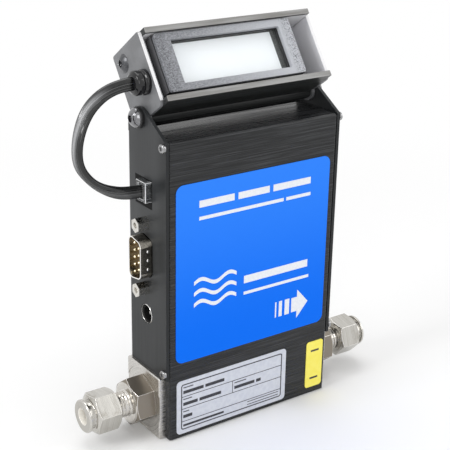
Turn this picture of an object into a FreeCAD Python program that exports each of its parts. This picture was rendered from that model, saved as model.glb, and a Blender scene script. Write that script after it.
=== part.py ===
"""Thermal mass flow meter with a stainless flow body, a folded sheet case and a tilting readout.

Millimetres. The origin is under the middle of the flow body, on the surface it stands on: X runs
along the flow from the inlet to the outlet, -Y is the front with the labels, and Z is up.
"""
import FreeCAD
import Part
import math
import os

# Flow body: a bar with the flow along X
block_height = 25.4
block_depth = 22.8
block_proud = 1.3
block_chamfer = 0.4
flow_height = 12.7
flow_bore_r = 5.0
port_r = 6.25
port_depth = 12.0
seal_seat_r = 7.5
seal_seat_depth = 1.5
spot_face_r = 12.3
spot_face_depth = 0.3
mount_hole_r = 1.75
mount_hole_depth = 6.0
mount_hole_spacing = 50.8
bypass_length = 22.0
bypass_grooves = 12
bypass_groove = 0.8

# Sensor on top of the flow body
sensor_leg_spacing = 16.0
sensor_tube_r = 0.8
sensor_tube_wall = 0.3
sensor_tube_bend = 3.0
sensor_rise = 11.0
sensor_base_size = (28.0, 11.4, 4.0)
sensor_cover_gap = 0.3
sensor_cover_headroom = 1.3
sensor_cover_wall = 1.0
winding_r = 1.7
winding_gap = 0.8
winding_length = 4.5

# Case: a folded rear cover with ears, and a folded front cover
case_width = 76.2
case_depth = 26.0
case_height = 115.6
rear_sheet = 1.3
rear_bend_r = 1.8
front_sheet = 1.2
front_bend_r = 1.0
tray_depth = 3.1
top_flange_depth = 21.0
lip_depth = 8.5
sheet_gap = 0.1
floor_gap = 0.3
side_setback = 0.2
rear_wall_rise = 0.4
ear_corner_r = 7.5
ear_rise = 9.0
ear_setback = 1.0

# Screws of the case
cover_screw_inset = 1.5
cover_screw_low = 28.0
cover_screw_drop = 1.7
cover_screw_head_r = 1.6
cover_screw_head = 1.2
cover_screw_r = 0.8
cover_screw_key = 1.5
base_screw_inset = 8.1
base_screw_r = 1.2
base_screw_head_r = 2.3
base_screw_length = 4.5

# Compression fittings
tube_r = 3.2
fitting_bore_r = 2.4
shank_length = 10.0
body_hex = 16.1
body_hex_length = 7.9
body_hex_face_r = 7.3
body_hex_turn = (9.0, -9.0)
neck_r = 4.6
neck_length = 11.3
neck_fillet = 0.5
socket_start = 11.0
mouth_r = 4.1
mouth_depth = 2.0
nut_hex = 14.1
nut_hex_face_r = 6.4
nut_hex_turn = (39.0, -18.0)
nut_start = 13.1
nut_hex_length = 9.9
nut_groove_r = 5.3
nut_groove_length = 2.0
nut_ring_r = 6.3
nut_ring_length = 1.05
nut_shoulder_r = 4.5
nut_tube_hole = 3.3
ferrule_flange_r = 4.3
ferrule_joint = 20.4
seal_gap = 0.05
seal_chamfer = 0.3
thread_gap = 0.1
ferrule_gap = 0.05

# Nine-pin connector
connector_y = -0.75
screw_pitch = 24.99
pin_pitch = 2.77
row_pitch = 2.84
pin_r = 0.5
pin_stand = 4.1
shell_length = 16.9
shell_width = 8.4
shell_slope = 10.0
shell_corner_r = 2.4
shell_wall = 0.5
shell_stand = 4.7
shell_gap = 0.4
flange_size = (30.8, 12.5)
flange_sheet = 0.8
insert_length = 11.0
jackscrew_hex = 4.75
jackscrew_stand = 4.4
jackscrew_r = 1.4
jackscrew_reach = 5.0
jackscrew_bore_start = 0.5
jackscrew_bore_r = 1.1

# Power socket
power_rise = 16.5
power_y = -0.8
power_hole_r = 3.85
power_nose_r = 3.7
power_recess = 0.6
power_bore_r = 2.75
power_bore_depth = 9.0
power_pin_r = 1.05
power_pin_length = 7.5
power_body = (9.0, 10.5, 13.0)

# Modular socket and plug
modular_y = 0.4
modular_cutout = (11.4, 10.7)
modular_length = 15.0
modular_flange = 0.8
socket_space_low = 1.05
socket_space_high = 2.65
plug_y = -1.5
plug_offset = 1.15
plug_size = (13.4, 6.5, 7.4)
plug_gap = 0.15
plug_stand = 2.4
plug_chamfer = 0.4
latch_size = (9.5, 1.1, 3.0)
latch_slot = 0.35
latch_ends = (1.5, 1.2)

# Circuit board in the case
board_sheet = 1.6
board_to_rear = 1.4
board_edge_left = 0.5
board_edge_right = 2.5
board_rise = 5.6
board_top_gap = 5.6
board_spacer_r = 2.6
board_screw_r = 1.2
board_screw_head_r = 2.2
board_screw_head = 1.3
board_hole_inset = 4.0
board_hole_inset_sockets = 18.5
chip_height = 1.8
capacitor_size = (3.2, 8.0)
trim_size = (9.5, 5.0, 4.7)
trim_pitch = 5.2
trim_drop = 8.9
trim_count = 4
trim_screw_r = 1.1
trim_screw_stand = 0.8

# Labels on the front
label_sheet = 0.25
front_label_left = 2.5
front_label_right = 2.7
front_label_low = 31.4
front_label_drop = 15.6
front_label_r = 3.0
spec_label_left = 2.9
spec_label_low = 1.7
spec_label_height = 22.3
spec_label_r = 1.6
caution_label_right = 1.5
caution_label_width = 8.2
caution_label_low = 2.8
caution_label_height = 20.4
caution_label_r = 1.2
label_space = 10.3

# Readout: drawn upright about its hinge, then leaned back
tilt = 35.5
pivot_y = 3.0
pivot_rise = 5.3
readout_side_gap = 0.3
plate_sheet = 1.2
channel_wall = 2.05
channel_front = 17.1
plate_front = 14.3
readout_back = 7.0
readout_top = 25.6
readout_bottom = 1.45
heel_r = 7.5
top_corner_r = 2.0
plate_corner_r = 1.0
plate_toe_r = 2.5
lug_r = 4.0
pivot_r = 2.0
pivot_running_gap = 0.05
pivot_screw_reach = 11.0
pivot_head_r = 3.6
pivot_head = 2.4
pivot_washer_r = 3.8
pivot_washer = 1.4
pivot_washer_gap = 0.1
port_boss_r = 3.2
plate_screw_y = 1.0
plate_screw_height = 20.5
plate_screw_r = 1.5
plate_screw_head_r = 3.4
plate_screw_head = 1.6
plate_screw_reach = 9.0
upper_boss_r = 2.7
upper_rib = 2.0
screw_key = 2.5
screw_gap = 0.05

# Bezel and display module
bezel_setback = 0.9
bezel_sheet = 1.5
bezel_space_left = 3.1
bezel_space_right = 9.9
bezel_space_below = 1.15
bezel_gap = 0.35
bezel_corner_r = 1.0
bezel_rim_left = 6.0
bezel_rim_right = 5.35
bezel_rim_low = 2.55
bezel_rim_high = 2.75
window_corner_r = 0.4
module_step = 0.6
frame_depth = 3.2
glass_recess = 0.7
glass_sheet = 1.1
glass_border = 2.0
view_margin = 0.9
readout_board_sheet = 1.6
standoff_r = 2.0
standoff_inset = 4.0
standoff_space_low = 0.3
standoff_space_high = 1.0

# Cord bushing on the left plate
bushing_y = -8.7
bushing_height = 9.3
bushing_r = 4.5
bushing_flange = 1.3
bushing_waist_r = 3.8
bushing_bulb_r = 4.3
bushing_nose_r = 3.0
bushing_length = 5.5
bushing_neck_r = 3.5
bushing_lip_r = 4.2
bushing_lip = 1.5

# Flat cord from the readout's bushing to the plug: width, thickness, route as (X, Y, Z)
cord_width = 4.8
cord_thickness = 2.4
cord_route = [
    (-42.0, 1.3, 133.5),
    (-46.6, 1.3, 133.5),
    (-54.0, 1.1, 131.1),
    (-60.2, 0.6, 125.8),
    (-63.9, -0.1, 116.9),
    (-64.1, -0.5, 108.7),
    (-59.9, -0.9, 102.6),
    (-54.2, -1.3, 98.5),
    (-46.6, -1.5, 95.7),
    (-40.5, -1.5, 95.7),
]

# Places worked out from the sizes above
half_width = case_width / 2
block_end = half_width + block_proud
block_front = -block_depth / 2
front_y = block_front - tray_depth
rear_y = front_y + case_depth
side_inner = half_width - rear_sheet
rear_inner = rear_y - rear_sheet
cover_half = side_inner - sheet_gap
cover_screw_high = case_height - cover_screw_drop
base_screw_x = half_width - base_screw_inset
board_back = rear_inner - board_to_rear
board_face = board_back - board_sheet
board_left = -side_inner + board_edge_left
board_right = side_inner - board_edge_right
board_low = block_height + board_rise
board_high = case_height - board_top_gap
power_height = board_low + power_rise
connector_height = power_height + power_body[2] / 2 + socket_space_low + flange_size[0] / 2
modular_half = modular_cutout[1] / 2 - sheet_gap + modular_flange
modular_height = connector_height + flange_size[0] / 2 + socket_space_high + modular_half
plug_height = modular_height + plug_offset
caution_left = cover_half - caution_label_right - caution_label_width
seat_x = block_end - spot_face_depth
hinge_height = case_height + pivot_rise
readout_half_width = side_inner - readout_side_gap
channel_half = readout_half_width - plate_sheet
bezel_left = -channel_half + bezel_space_left
bezel_right = channel_half - bezel_space_right
bezel_low = channel_wall + bezel_space_below - readout_bottom
bezel_high = readout_top - channel_wall - bezel_gap
window_left = bezel_left + bezel_rim_left
window_right = bezel_right - bezel_rim_right
window_low = bezel_low + bezel_rim_low
window_high = bezel_high - bezel_rim_high
bezel_front = channel_front - bezel_setback
bezel_back = bezel_front - bezel_sheet
frame_back = bezel_back - frame_depth
board_plane = frame_back - readout_board_sheet

X_AXIS = FreeCAD.Vector(1, 0, 0)
Y_AXIS = FreeCAD.Vector(0, 1, 0)
Z_AXIS = FreeCAD.Vector(0, 0, 1)
ORIGIN = FreeCAD.Vector(0, 0, 0)


def vec(x, y, z):
    return FreeCAD.Vector(x, y, z)


def box(x0, x1, y0, y1, z0, z1):
    return Part.makeBox(x1 - x0, y1 - y0, z1 - z0, vec(x0, y0, z0))


def rod(radius, start, length, direction=X_AXIS):
    return Part.makeCylinder(radius, length, start, direction)


def fuse(shapes):
    first = shapes[0]
    if len(shapes) > 1:
        first = first.multiFuse(shapes[1:])
    return first.removeSplitter()


def outline(corners):
    """Closed wire through (u, v, radius) corners, each corner rounded by a tangent arc."""
    count = len(corners)
    ends = []
    arcs = []
    for i in range(count):
        u, v, radius = corners[i]
        here = vec(u, v, 0)
        before = vec(*corners[i - 1][:2], 0) - here
        after = vec(*corners[(i + 1) % count][:2], 0) - here
        before.normalize()
        after.normalize()
        if radius <= 0:
            ends.append((here, here))
            arcs.append(None)
            continue
        half = before.getAngle(after) / 2
        reach = radius / math.tan(half)
        bisector = before + after
        bisector.normalize()
        centre = here + bisector * (radius / math.sin(half))
        middle = centre - bisector * radius
        start = here + before * reach
        stop = here + after * reach
        ends.append((start, stop))
        arcs.append(Part.Arc(start, middle, stop).toShape())
    edges = []
    for i in range(count):
        if arcs[i]:
            edges.append(arcs[i])
        start = ends[i][1]
        stop = ends[(i + 1) % count][0]
        if start.distanceToPoint(stop) > 1e-6:
            edges.append(Part.LineSegment(start, stop).toShape())
    return Part.Wire(edges)


def slab_x(corners, x0, x1):
    """Outline in (Y, Z) made solid between two X places."""
    face = Part.Face(outline(corners))
    face.rotate(ORIGIN, vec(1, 1, 1), 120)
    face.translate(vec(x0, 0, 0))
    return face.extrude(vec(x1 - x0, 0, 0))


def slab_y(corners, y0, y1):
    """Outline in (X, Z) made solid between two Y places."""
    face = Part.Face(outline(corners))
    face.rotate(ORIGIN, X_AXIS, 90)
    face.translate(vec(0, y0, 0))
    return face.extrude(vec(0, y1 - y0, 0))


def slab_z(corners, z0, z1):
    """Outline in (X, Y) made solid between two Z places."""
    face = Part.Face(outline(corners))
    face.translate(vec(0, 0, z0))
    return face.extrude(vec(0, 0, z1 - z0))


def rectangle(u0, u1, v0, v1, radius=0.0):
    return [(u0, v0, radius), (u1, v0, radius), (u1, v1, radius), (u0, v1, radius)]


def turned(profile):
    """Solid of revolution about the X axis; a third number rounds that (x, radius) corner."""
    corners = [(*corner, 0)[:3] for corner in profile]
    return Part.Face(outline(corners)).revolve(ORIGIN, X_AXIS, 360)


def hexagon_x(across, x0, x1, turn=0.0):
    """Hexagonal bar along X; with no turn its flats face front and rear."""
    corner = across / 2 / math.cos(math.radians(30))
    corners = []
    for i in range(6):
        angle = math.radians(30 + turn + 60 * i)
        corners.append((corner * math.cos(angle), corner * math.sin(angle), 0))
    return slab_x(corners, x0, x1)


def turned_hexagon(across, face_r, x0, x1, turn, both_ends):
    """Hexagonal bar with its corners turned off at 30 degrees, at the outer end or at both."""
    reach = across / 2 / math.cos(math.radians(30)) + 0.1
    run = (reach - face_r) * math.tan(math.radians(30))
    start = [(x0, face_r), (x0 + run, reach)] if both_ends else [(x0, reach)]
    envelope = turned([(x0, 0)] + start + [(x1 - run, reach), (x1, face_r), (x1, 0)])
    return hexagon_x(across, x0, x1, turn).common(envelope)


def at_port(shape, side):
    """Moves a piece drawn on +X from a port face to the inlet (-1) or the outlet (+1)."""
    placed = shape.copy()
    placed.translate(vec(seat_x, 0, flow_height))
    if side < 0:
        placed.rotate(ORIGIN, Z_AXIS, 180)
    return placed


def leaned(shape):
    """Takes a piece drawn upright about the hinge to its place on the case."""
    placed = shape.copy()
    placed.rotate(ORIGIN, X_AXIS, -tilt)
    placed.translate(vec(0, pivot_y, hinge_height))
    return placed


# Flow body and sensor

def base_block():
    body = box(-block_end, block_end, block_front, -block_front, 0, block_height)
    body = body.makeChamfer(block_chamfer, body.Edges)
    cuts = [rod(flow_bore_r, vec(-block_end, 0, flow_height), 2 * block_end)]
    for side in (-1, 1):
        direction = vec(-side, 0, 0)
        start = vec(side * block_end, 0, flow_height)
        seat = vec(side * seat_x, 0, flow_height)
        cuts.append(rod(spot_face_r, start, spot_face_depth, direction))
        cuts.append(rod(seal_seat_r, seat, seal_seat_depth, direction))
        cuts.append(rod(port_r, seat, port_depth, direction))
        leg = vec(side * sensor_leg_spacing / 2, 0, flow_height)
        cuts.append(rod(sensor_tube_r + screw_gap, leg, block_height, Z_AXIS))
        hole = vec(side * mount_hole_spacing / 2, 0, 0)
        cuts.append(rod(mount_hole_r, hole, mount_hole_depth, Z_AXIS))
        screw = vec(side * base_screw_x, block_front, flow_height)
        cuts.append(rod(base_screw_r + screw_gap, screw, base_screw_length, Y_AXIS))
    return body.cut(fuse(cuts))


def bypass_element():
    """Laminar bypass: a plug with narrow grooves all round, inside the flow bore."""
    radius = flow_bore_r - ferrule_gap
    plug = rod(radius, vec(-bypass_length / 2, 0, 0), bypass_length)
    grooves = []
    for i in range(bypass_grooves):
        groove = box(-bypass_length, bypass_length, -bypass_groove / 2, bypass_groove / 2,
                     radius - bypass_groove, radius + 1)
        groove.rotate(ORIGIN, X_AXIS, 360 * i / bypass_grooves)
        grooves.append(groove)
    plug = plug.cut(Part.makeCompound(grooves))
    plug.translate(vec(0, 0, flow_height))
    return plug


def sensor_path_height():
    return block_height + sensor_base_size[2] + sensor_rise


def sensor_tube():
    """Capillary that leaves the flow bore, crosses over and comes back."""
    half = sensor_leg_spacing / 2
    bend = sensor_tube_bend
    low = flow_height + flow_bore_r
    top = sensor_path_height()
    turn = bend * (1 - math.cos(math.radians(45)))
    left = [vec(-half, 0, low), vec(-half, 0, top - bend), vec(-half + turn, 0, top - turn),
            vec(-half + bend, 0, top)]
    right = [vec(half - bend, 0, top), vec(half - turn, 0, top - turn), vec(half, 0, top - bend),
             vec(half, 0, low)]
    path = Part.Wire([
        Part.LineSegment(left[0], left[1]).toShape(),
        Part.Arc(left[1], left[2], left[3]).toShape(),
        Part.LineSegment(left[3], right[0]).toShape(),
        Part.Arc(right[0], right[1], right[2]).toShape(),
        Part.LineSegment(right[2], right[3]).toShape(),
    ])
    outer = Part.Wire(Part.makeCircle(sensor_tube_r, left[0], Z_AXIS))
    inner = Part.Wire(Part.makeCircle(sensor_tube_r - sensor_tube_wall, left[0], Z_AXIS))
    return path.makePipeShell([outer], True, False).cut(path.makePipeShell([inner], True, False))


def sensor_windings():
    """Two heater windings, side by side on the crossing part of the capillary."""
    coils = []
    for side in (-1, 1):
        middle = side * (winding_length + winding_gap) / 2
        start = vec(middle - winding_length / 2, 0, sensor_path_height())
        coil = rod(winding_r, start, winding_length)
        coils.append(coil.cut(rod(sensor_tube_r + screw_gap, start, winding_length)))
    return Part.makeCompound(coils)


def sensor_base():
    length, depth, height = sensor_base_size
    top = block_height + height
    plate = slab_z(rectangle(-length / 2, length / 2, -depth / 2, depth / 2, 1.5), block_height, top)
    for side in (-1, 1):
        leg = vec(side * sensor_leg_spacing / 2, 0, block_height)
        plate = plate.cut(rod(sensor_tube_r + screw_gap, leg, height, Z_AXIS))
    return plate


def sensor_cover():
    """Cap over the sensor that sits on the flow body, round its base."""
    wall = sensor_cover_wall
    length = sensor_base_size[0] + 2 * (sensor_cover_gap + wall)
    depth = sensor_base_size[1] + 2 * (sensor_cover_gap + wall)
    top = sensor_path_height() + winding_r + sensor_cover_headroom + wall
    outer = slab_z(rectangle(-length / 2, length / 2, -depth / 2, depth / 2, 2.0), block_height, top)
    inner = box(-length / 2 + wall, length / 2 - wall, -depth / 2 + wall, depth / 2 - wall,
                block_height, top - wall)
    return outer.cut(inner)


# Compression fittings, drawn along +X from the spot face

def fitting_body(turn):
    """Port fitting: shank in the flow body, hexagon, and a neck that takes the tube."""
    shank_r = port_r - thread_gap
    neck_end = body_hex_length + neck_length
    shank = turned([(-shank_length, 0), (-shank_length, shank_r - 0.8), (-shank_length + 0.8, shank_r),
                    (0.1, shank_r), (0.1, 0)])
    neck = turned([(body_hex_length - 0.1, 0), (body_hex_length - 0.1, neck_r + neck_fillet),
                   (body_hex_length, neck_r + neck_fillet), (body_hex_length + neck_fillet, neck_r),
                   (neck_end - 0.4, neck_r), (neck_end, neck_r - 0.2), (neck_end, 0)])
    bore = turned([(-shank_length, 0), (-shank_length, fitting_bore_r), (socket_start, fitting_bore_r),
                   (socket_start, tube_r), (neck_end - mouth_depth, tube_r), (neck_end, mouth_r),
                   (neck_end, 0)])
    hexagon = turned_hexagon(body_hex, body_hex_face_r, 0, body_hex_length, turn, False)
    return fuse([shank, hexagon, neck]).cut(bore)


def nut_end():
    return nut_start + nut_hex_length + nut_groove_length + nut_ring_length


def fitting_nut(turn):
    """Union nut: hexagon, groove and end ring, hollow for the neck and both ferrules."""
    hex_end = nut_start + nut_hex_length
    ring_start = hex_end + nut_groove_length
    end = nut_end()
    hexagon = turned_hexagon(nut_hex, nut_hex_face_r, nut_start, hex_end, turn, True)
    barrel = turned([(hex_end - 0.1, 0), (hex_end - 0.1, nut_groove_r), (ring_start, nut_groove_r),
                     (ring_start, nut_ring_r), (end - 0.3, nut_ring_r), (end, nut_ring_r - 0.3), (end, 0)])
    cavity_r = neck_r + thread_gap
    tube_hole = end - nut_tube_hole
    hollow = turned([(nut_start, 0), (nut_start, cavity_r), (ferrule_joint, cavity_r),
                     (ferrule_joint, nut_shoulder_r), (tube_hole, tube_r + 0.4), (tube_hole, tube_r),
                     (end, tube_r), (end, 0)])
    return fuse([hexagon, barrel]).cut(hollow)


def front_ferrule():
    mouth_start = body_hex_length + neck_length - mouth_depth
    mouth_end = mouth_start + mouth_depth
    slope = (mouth_r - tube_r) / mouth_depth
    nose = mouth_start + 0.4
    return turned([
        (nose, tube_r), (nose, tube_r + slope * 0.4 - ferrule_gap), (mouth_end, mouth_r - ferrule_gap),
        (mouth_end, ferrule_flange_r), (ferrule_joint, ferrule_flange_r), (ferrule_joint, tube_r),
    ])


def back_ferrule():
    end = nut_end() - nut_tube_hole
    return turned([
        (ferrule_joint, tube_r), (ferrule_joint, nut_shoulder_r - ferrule_gap),
        (end - ferrule_gap, tube_r + 0.4 - ferrule_gap), (end - ferrule_gap, tube_r),
    ])


def seal_ring():
    """Square-cut seal in its seat round the port, under the fitting's hexagon."""
    inner = port_r + seal_gap
    outer = seal_seat_r - seal_gap
    return turned([(-seal_seat_depth, inner), (-seal_seat_depth, outer - seal_chamfer),
                   (-seal_seat_depth + seal_chamfer, outer), (-seal_chamfer, outer),
                   (0, outer - seal_chamfer), (0, inner)])


# Case

def ear_outline():
    """Side view of the rear cover: upright back edge, round ear, sloping front shoulder."""
    front = front_y + side_setback
    rear = rear_y - ear_setback
    centre_y = rear - ear_corner_r
    centre_z = case_height + ear_rise - ear_corner_r
    reach = math.hypot(centre_y - front, centre_z - case_height)
    rise = math.atan2(centre_z - case_height, centre_y - front) + math.asin(ear_corner_r / reach)
    run = rear - front
    return [
        (front, block_height, 0), (rear, block_height, 0),
        (rear, case_height + run * math.tan(rise), ear_corner_r), (front, case_height, 0),
    ]


def d_outline(grow):
    """D shape of the nine-pin shell in (Y, Z), wide side to the rear."""
    half = shell_length / 2 + grow
    slope = math.tan(math.radians(shell_slope))
    low_y = connector_y - shell_width / 2 - grow
    high_y = connector_y + shell_width / 2 + grow
    narrow = half - (high_y - low_y) * slope
    radius = shell_corner_r + grow
    return [
        (low_y, connector_height - narrow, radius), (high_y, connector_height - half, radius),
        (high_y, connector_height + half, radius), (low_y, connector_height + narrow, radius),
    ]


def left_cutouts():
    """Openings of the left side for the nine-pin connector, the two sockets and their screws."""
    x0 = -half_width - 1
    x1 = -side_inner + 1
    wide, tall = modular_cutout
    cuts = [slab_x(d_outline(shell_gap), x0, x1)]
    for side in (-1, 1):
        centre = vec(x0, connector_y, connector_height + side * screw_pitch / 2)
        cuts.append(rod(jackscrew_r + screw_gap, centre, x1 - x0))
    cuts.append(rod(power_hole_r, vec(x0, power_y, power_height), x1 - x0))
    cuts.append(box(x0, x1, modular_y - wide / 2, modular_y + wide / 2,
                    modular_height - tall / 2, modular_height + tall / 2))
    return fuse(cuts)


def rear_cover():
    """One folded sheet: back wall, two sides with ears, and a top lip under the front cover."""
    lip_top = case_height - front_sheet
    wall_top = case_height + rear_wall_rise
    front = front_y + side_setback
    outer = slab_z([(-half_width, front, 0), (half_width, front, 0), (half_width, rear_y, rear_bend_r),
                    (-half_width, rear_y, rear_bend_r)], block_height, wall_top)
    inner_r = rear_bend_r - rear_sheet
    inner = slab_z([(-side_inner, front - 1, 0), (side_inner, front - 1, 0), (side_inner, rear_inner, inner_r),
                    (-side_inner, rear_inner, inner_r)], block_height - 1, wall_top + 1)
    trim = box(-half_width, half_width, front, rear_y - rear_bend_r, lip_top, wall_top)
    wrap = outer.cut(fuse([inner, trim]))
    above = box(-half_width, half_width, front, rear_y, lip_top, lip_top + 2 * ear_rise)
    pieces = [wrap]
    for side in (-1, 1):
        x0, x1 = sorted((side * half_width, side * side_inner))
        pieces.append(slab_x(ear_outline(), x0, x1).common(above))
    pieces.append(box(-side_inner, side_inner, rear_y - lip_depth, rear_inner + 0.1, lip_top - rear_sheet,
                      lip_top))
    cover = fuse(pieces)
    hinge = rod(pivot_r + pivot_running_gap, vec(-half_width - 1, pivot_y, hinge_height), case_width + 2)
    holes = [hinge, left_cutouts()]
    for height in (cover_screw_low, cover_screw_high):
        start = vec(-half_width - 1, front_y + cover_screw_inset, height)
        holes.append(rod(cover_screw_r + screw_gap, start, case_width + 2))
    return cover.cut(Part.makeCompound(holes))


def front_cover():
    """Folded tray: front panel, shallow returns on three sides and a deep top flange."""
    front = front_y
    inner = front_y + front_sheet
    shell = slab_z([(-cover_half, front, front_bend_r), (cover_half, front, front_bend_r),
                    (cover_half, block_front, 0), (-cover_half, block_front, 0)], floor_gap, case_height)
    hollow = box(-cover_half + front_sheet, cover_half - front_sheet, inner, block_front,
                 floor_gap + front_sheet, case_height - front_sheet)
    shell = shell.cut(hollow)
    flange = box(-cover_half, cover_half, block_front, front + top_flange_depth,
                 case_height - front_sheet, case_height)
    shell = fuse([shell, flange])
    front_edge = [edge for edge in shell.Edges if is_front_top(edge)]
    shell = shell.makeFillet(front_bend_r, front_edge)
    holes = []
    for height in (cover_screw_low, cover_screw_high):
        start = vec(-half_width, front_y + cover_screw_inset, height)
        holes.append(rod(cover_screw_r + screw_gap, start, case_width))
    for side in (-1, 1):
        holes.append(base_screw(side, screw_gap))
    return shell.cut(Part.makeCompound(holes))


def is_front_top(edge):
    """True for the straight edge where the front panel turns into the top flange."""
    middle = edge.CenterOfMass
    return (abs(middle.y - front_y) < 0.01 and abs(middle.z - case_height) < 0.01
            and edge.Length > cover_half)


def socket_screw(head_r, head, shank_r, length, key):
    """Socket screw along +X with the underside of its head at the origin."""
    body = turned([(-length, 0), (-length, shank_r), (0, shank_r), (0, head_r), (head - 0.2, head_r),
                   (head, head_r - 0.2), (head, 0)])
    return body.cut(hexagon_x(key, head * 0.45, head + 1))


def button_screw(head_r, head, shank_r, length, key):
    """Round-headed socket screw along +X with the underside of its head at the origin."""
    dome_r = (head_r ** 2 + head ** 2) / (2 * head)
    cap = Part.makeSphere(dome_r, vec(head - dome_r, 0, 0))
    cap = cap.common(rod(head_r, ORIGIN, head + 1))
    body = fuse([cap, rod(shank_r, vec(-length, 0, 0), length)])
    return body.cut(hexagon_x(key, head * 0.4, head + 1))


def facing(shape, side):
    """Turns a piece drawn along +X to face the left (-1) or leaves it facing right (+1)."""
    placed = shape.copy()
    if side < 0:
        placed.rotate(ORIGIN, Z_AXIS, 180)
    return placed


def cover_screws():
    screws = []
    for side in (-1, 1):
        for height in (cover_screw_low, cover_screw_high):
            screw = socket_screw(cover_screw_head_r, cover_screw_head, cover_screw_r,
                                 rear_sheet + front_sheet, cover_screw_key)
            screw = facing(screw, side)
            screw.translate(vec(side * half_width, front_y + cover_screw_inset, height))
            screws.append(screw)
    return Part.makeCompound(screws)


def base_screw(side, grow):
    """Flat-headed screw, flush in the front panel, into the flow body."""
    head = front_sheet
    point = -head - base_screw_length + 0.5 - grow
    screw = turned([(point, 0), (point, base_screw_r + grow), (-head, base_screw_r + grow),
                    (0, base_screw_head_r + grow), (0, 0)])
    screw.rotate(ORIGIN, Z_AXIS, -90)
    screw.translate(vec(side * base_screw_x, front_y, flow_height))
    return screw


def base_screws():
    return Part.makeCompound([base_screw(-1, 0.0), base_screw(1, 0.0)])


def label(left, right, low, high, radius):
    return slab_y(rectangle(left, right, low, high, radius), front_y - label_sheet, front_y)


def front_label():
    return label(-cover_half + front_label_left, cover_half - front_label_right, front_label_low,
                 case_height - front_label_drop, front_label_r)


def spec_label():
    return label(-cover_half + spec_label_left, caution_left - label_space, spec_label_low,
                 spec_label_low + spec_label_height, spec_label_r)


def caution_label():
    return label(caution_left, caution_left + caution_label_width, caution_label_low,
                 caution_label_low + caution_label_height, caution_label_r)


# Nine-pin connector

def connector_shell():
    """Pressed shell: D-shaped collar out of the side, flange behind the sheet."""
    length, width = flange_size
    x_front = -half_width - shell_stand
    collar = slab_x(d_outline(0), x_front, -side_inner)
    flange = slab_x(rectangle(connector_y - width / 2, connector_y + width / 2, connector_height - length / 2,
                              connector_height + length / 2, 1.5), -side_inner, -side_inner + flange_sheet)
    shell = fuse([collar, flange])
    shell = shell.cut(slab_x(d_outline(-shell_wall), x_front - 1, -side_inner + flange_sheet + 1))
    for side in (-1, 1):
        centre = vec(-half_width, connector_y, connector_height + side * screw_pitch / 2)
        shell = shell.cut(rod(jackscrew_r + screw_gap, centre, 2 * jackscrew_reach))
    return shell


def pin_places():
    places = []
    for i in range(5):
        places.append((connector_y + row_pitch / 2, connector_height + (i - 2) * pin_pitch))
    for i in range(4):
        places.append((connector_y - row_pitch / 2, connector_height + (i - 1.5) * pin_pitch))
    return places


def connector_insert():
    """Moulded insulator in the shell, with the block that carries it on the board."""
    length, width = flange_size
    back = -side_inner + flange_sheet
    nose = slab_x(d_outline(-shell_wall), -half_width, back)
    block = box(back, back + insert_length, connector_y - width / 2, board_face,
                connector_height - length / 2, connector_height + length / 2)
    insert = fuse([nose, block])
    for side in (-1, 1):
        centre = vec(back, connector_y, connector_height + side * screw_pitch / 2)
        insert = insert.cut(rod(jackscrew_r + screw_gap, centre, 6))
    for y, z in pin_places():
        insert = insert.cut(rod(pin_r, vec(-half_width - 1, y, z), 4))
    return insert


def connector_pins():
    """Nine pins with rounded tips."""
    pins = []
    for y, z in pin_places():
        tip = -half_width - pin_stand
        pin = turned([(0, 0), (0, pin_r * 0.5), (pin_r * 0.6, pin_r), (pin_stand + 2, pin_r), (pin_stand + 2, 0)])
        pin.translate(vec(tip, y, z))
        pins.append(pin)
    return Part.makeCompound(pins)


def connector_jackscrews():
    """Two hexagonal threaded posts that hold the connector to the side."""
    posts = []
    for side in (-1, 1):
        shank = rod(jackscrew_r, vec(-jackscrew_reach, 0, 0), jackscrew_reach)
        post = fuse([hexagon_x(jackscrew_hex, 0, jackscrew_stand), shank])
        post = post.cut(rod(jackscrew_bore_r, vec(jackscrew_bore_start, 0, 0), jackscrew_stand))
        post = facing(post, -1)
        post.translate(vec(-half_width, connector_y, connector_height + side * screw_pitch / 2))
        posts.append(post)
    return Part.makeCompound(posts)


# Sockets

def power_jack():
    """Round-nosed power socket on the board, recessed in the side."""
    wide, tall, deep = power_body
    nose = rod(power_nose_r, vec(-half_width + power_recess, power_y, power_height), rear_sheet)
    block = box(-side_inner, -side_inner + deep, power_y - wide / 2, board_face,
                power_height - tall / 2, power_height + tall / 2)
    bore = rod(power_bore_r, vec(-half_width, power_y, power_height), power_bore_depth)
    return fuse([nose, block]).cut(bore)


def power_jack_pin():
    start = -half_width + power_bore_depth
    pin = turned([(-power_pin_length, 0), (-power_pin_length, power_pin_r * 0.6),
                  (-power_pin_length + 0.6, power_pin_r), (0, power_pin_r), (0, 0)])
    pin.translate(vec(start, power_y, power_height))
    return pin


def plug_cavity(grow):
    """Space of the plug's body and of its latch on the rear side, from the side inwards."""
    length, deep, tall = plug_size
    latch_length, latch_deep, latch_tall = latch_size
    x0 = -half_width - plug_stand
    rear = plug_y + deep / 2
    body = box(x0, x0 + length, plug_y - deep / 2 - grow, rear + grow, plug_height - tall / 2 - grow,
               plug_height + tall / 2 + grow)
    latch = box(x0, x0 + latch_length, rear, rear + latch_deep + grow, plug_height - latch_tall / 2 - grow,
                plug_height + latch_tall / 2 + grow)
    return body, latch


def modular_jack():
    """Moulded socket that fills its opening, with a stepped slot for the plug and its latch."""
    wide, tall = modular_cutout
    low = modular_height - tall / 2 + sheet_gap
    high = modular_height + tall / 2 - sheet_gap
    jack_front = modular_y - wide / 2 + sheet_gap
    jack_rear = modular_y + wide / 2 - sheet_gap
    nose = box(-half_width, -side_inner, jack_front, jack_rear, low, high)
    block = box(-side_inner, -side_inner + modular_length, jack_front, board_face, low - modular_flange,
                high + modular_flange)
    body, latch = plug_cavity(plug_gap)
    return fuse([nose, block]).cut(fuse([body, latch]))


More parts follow.
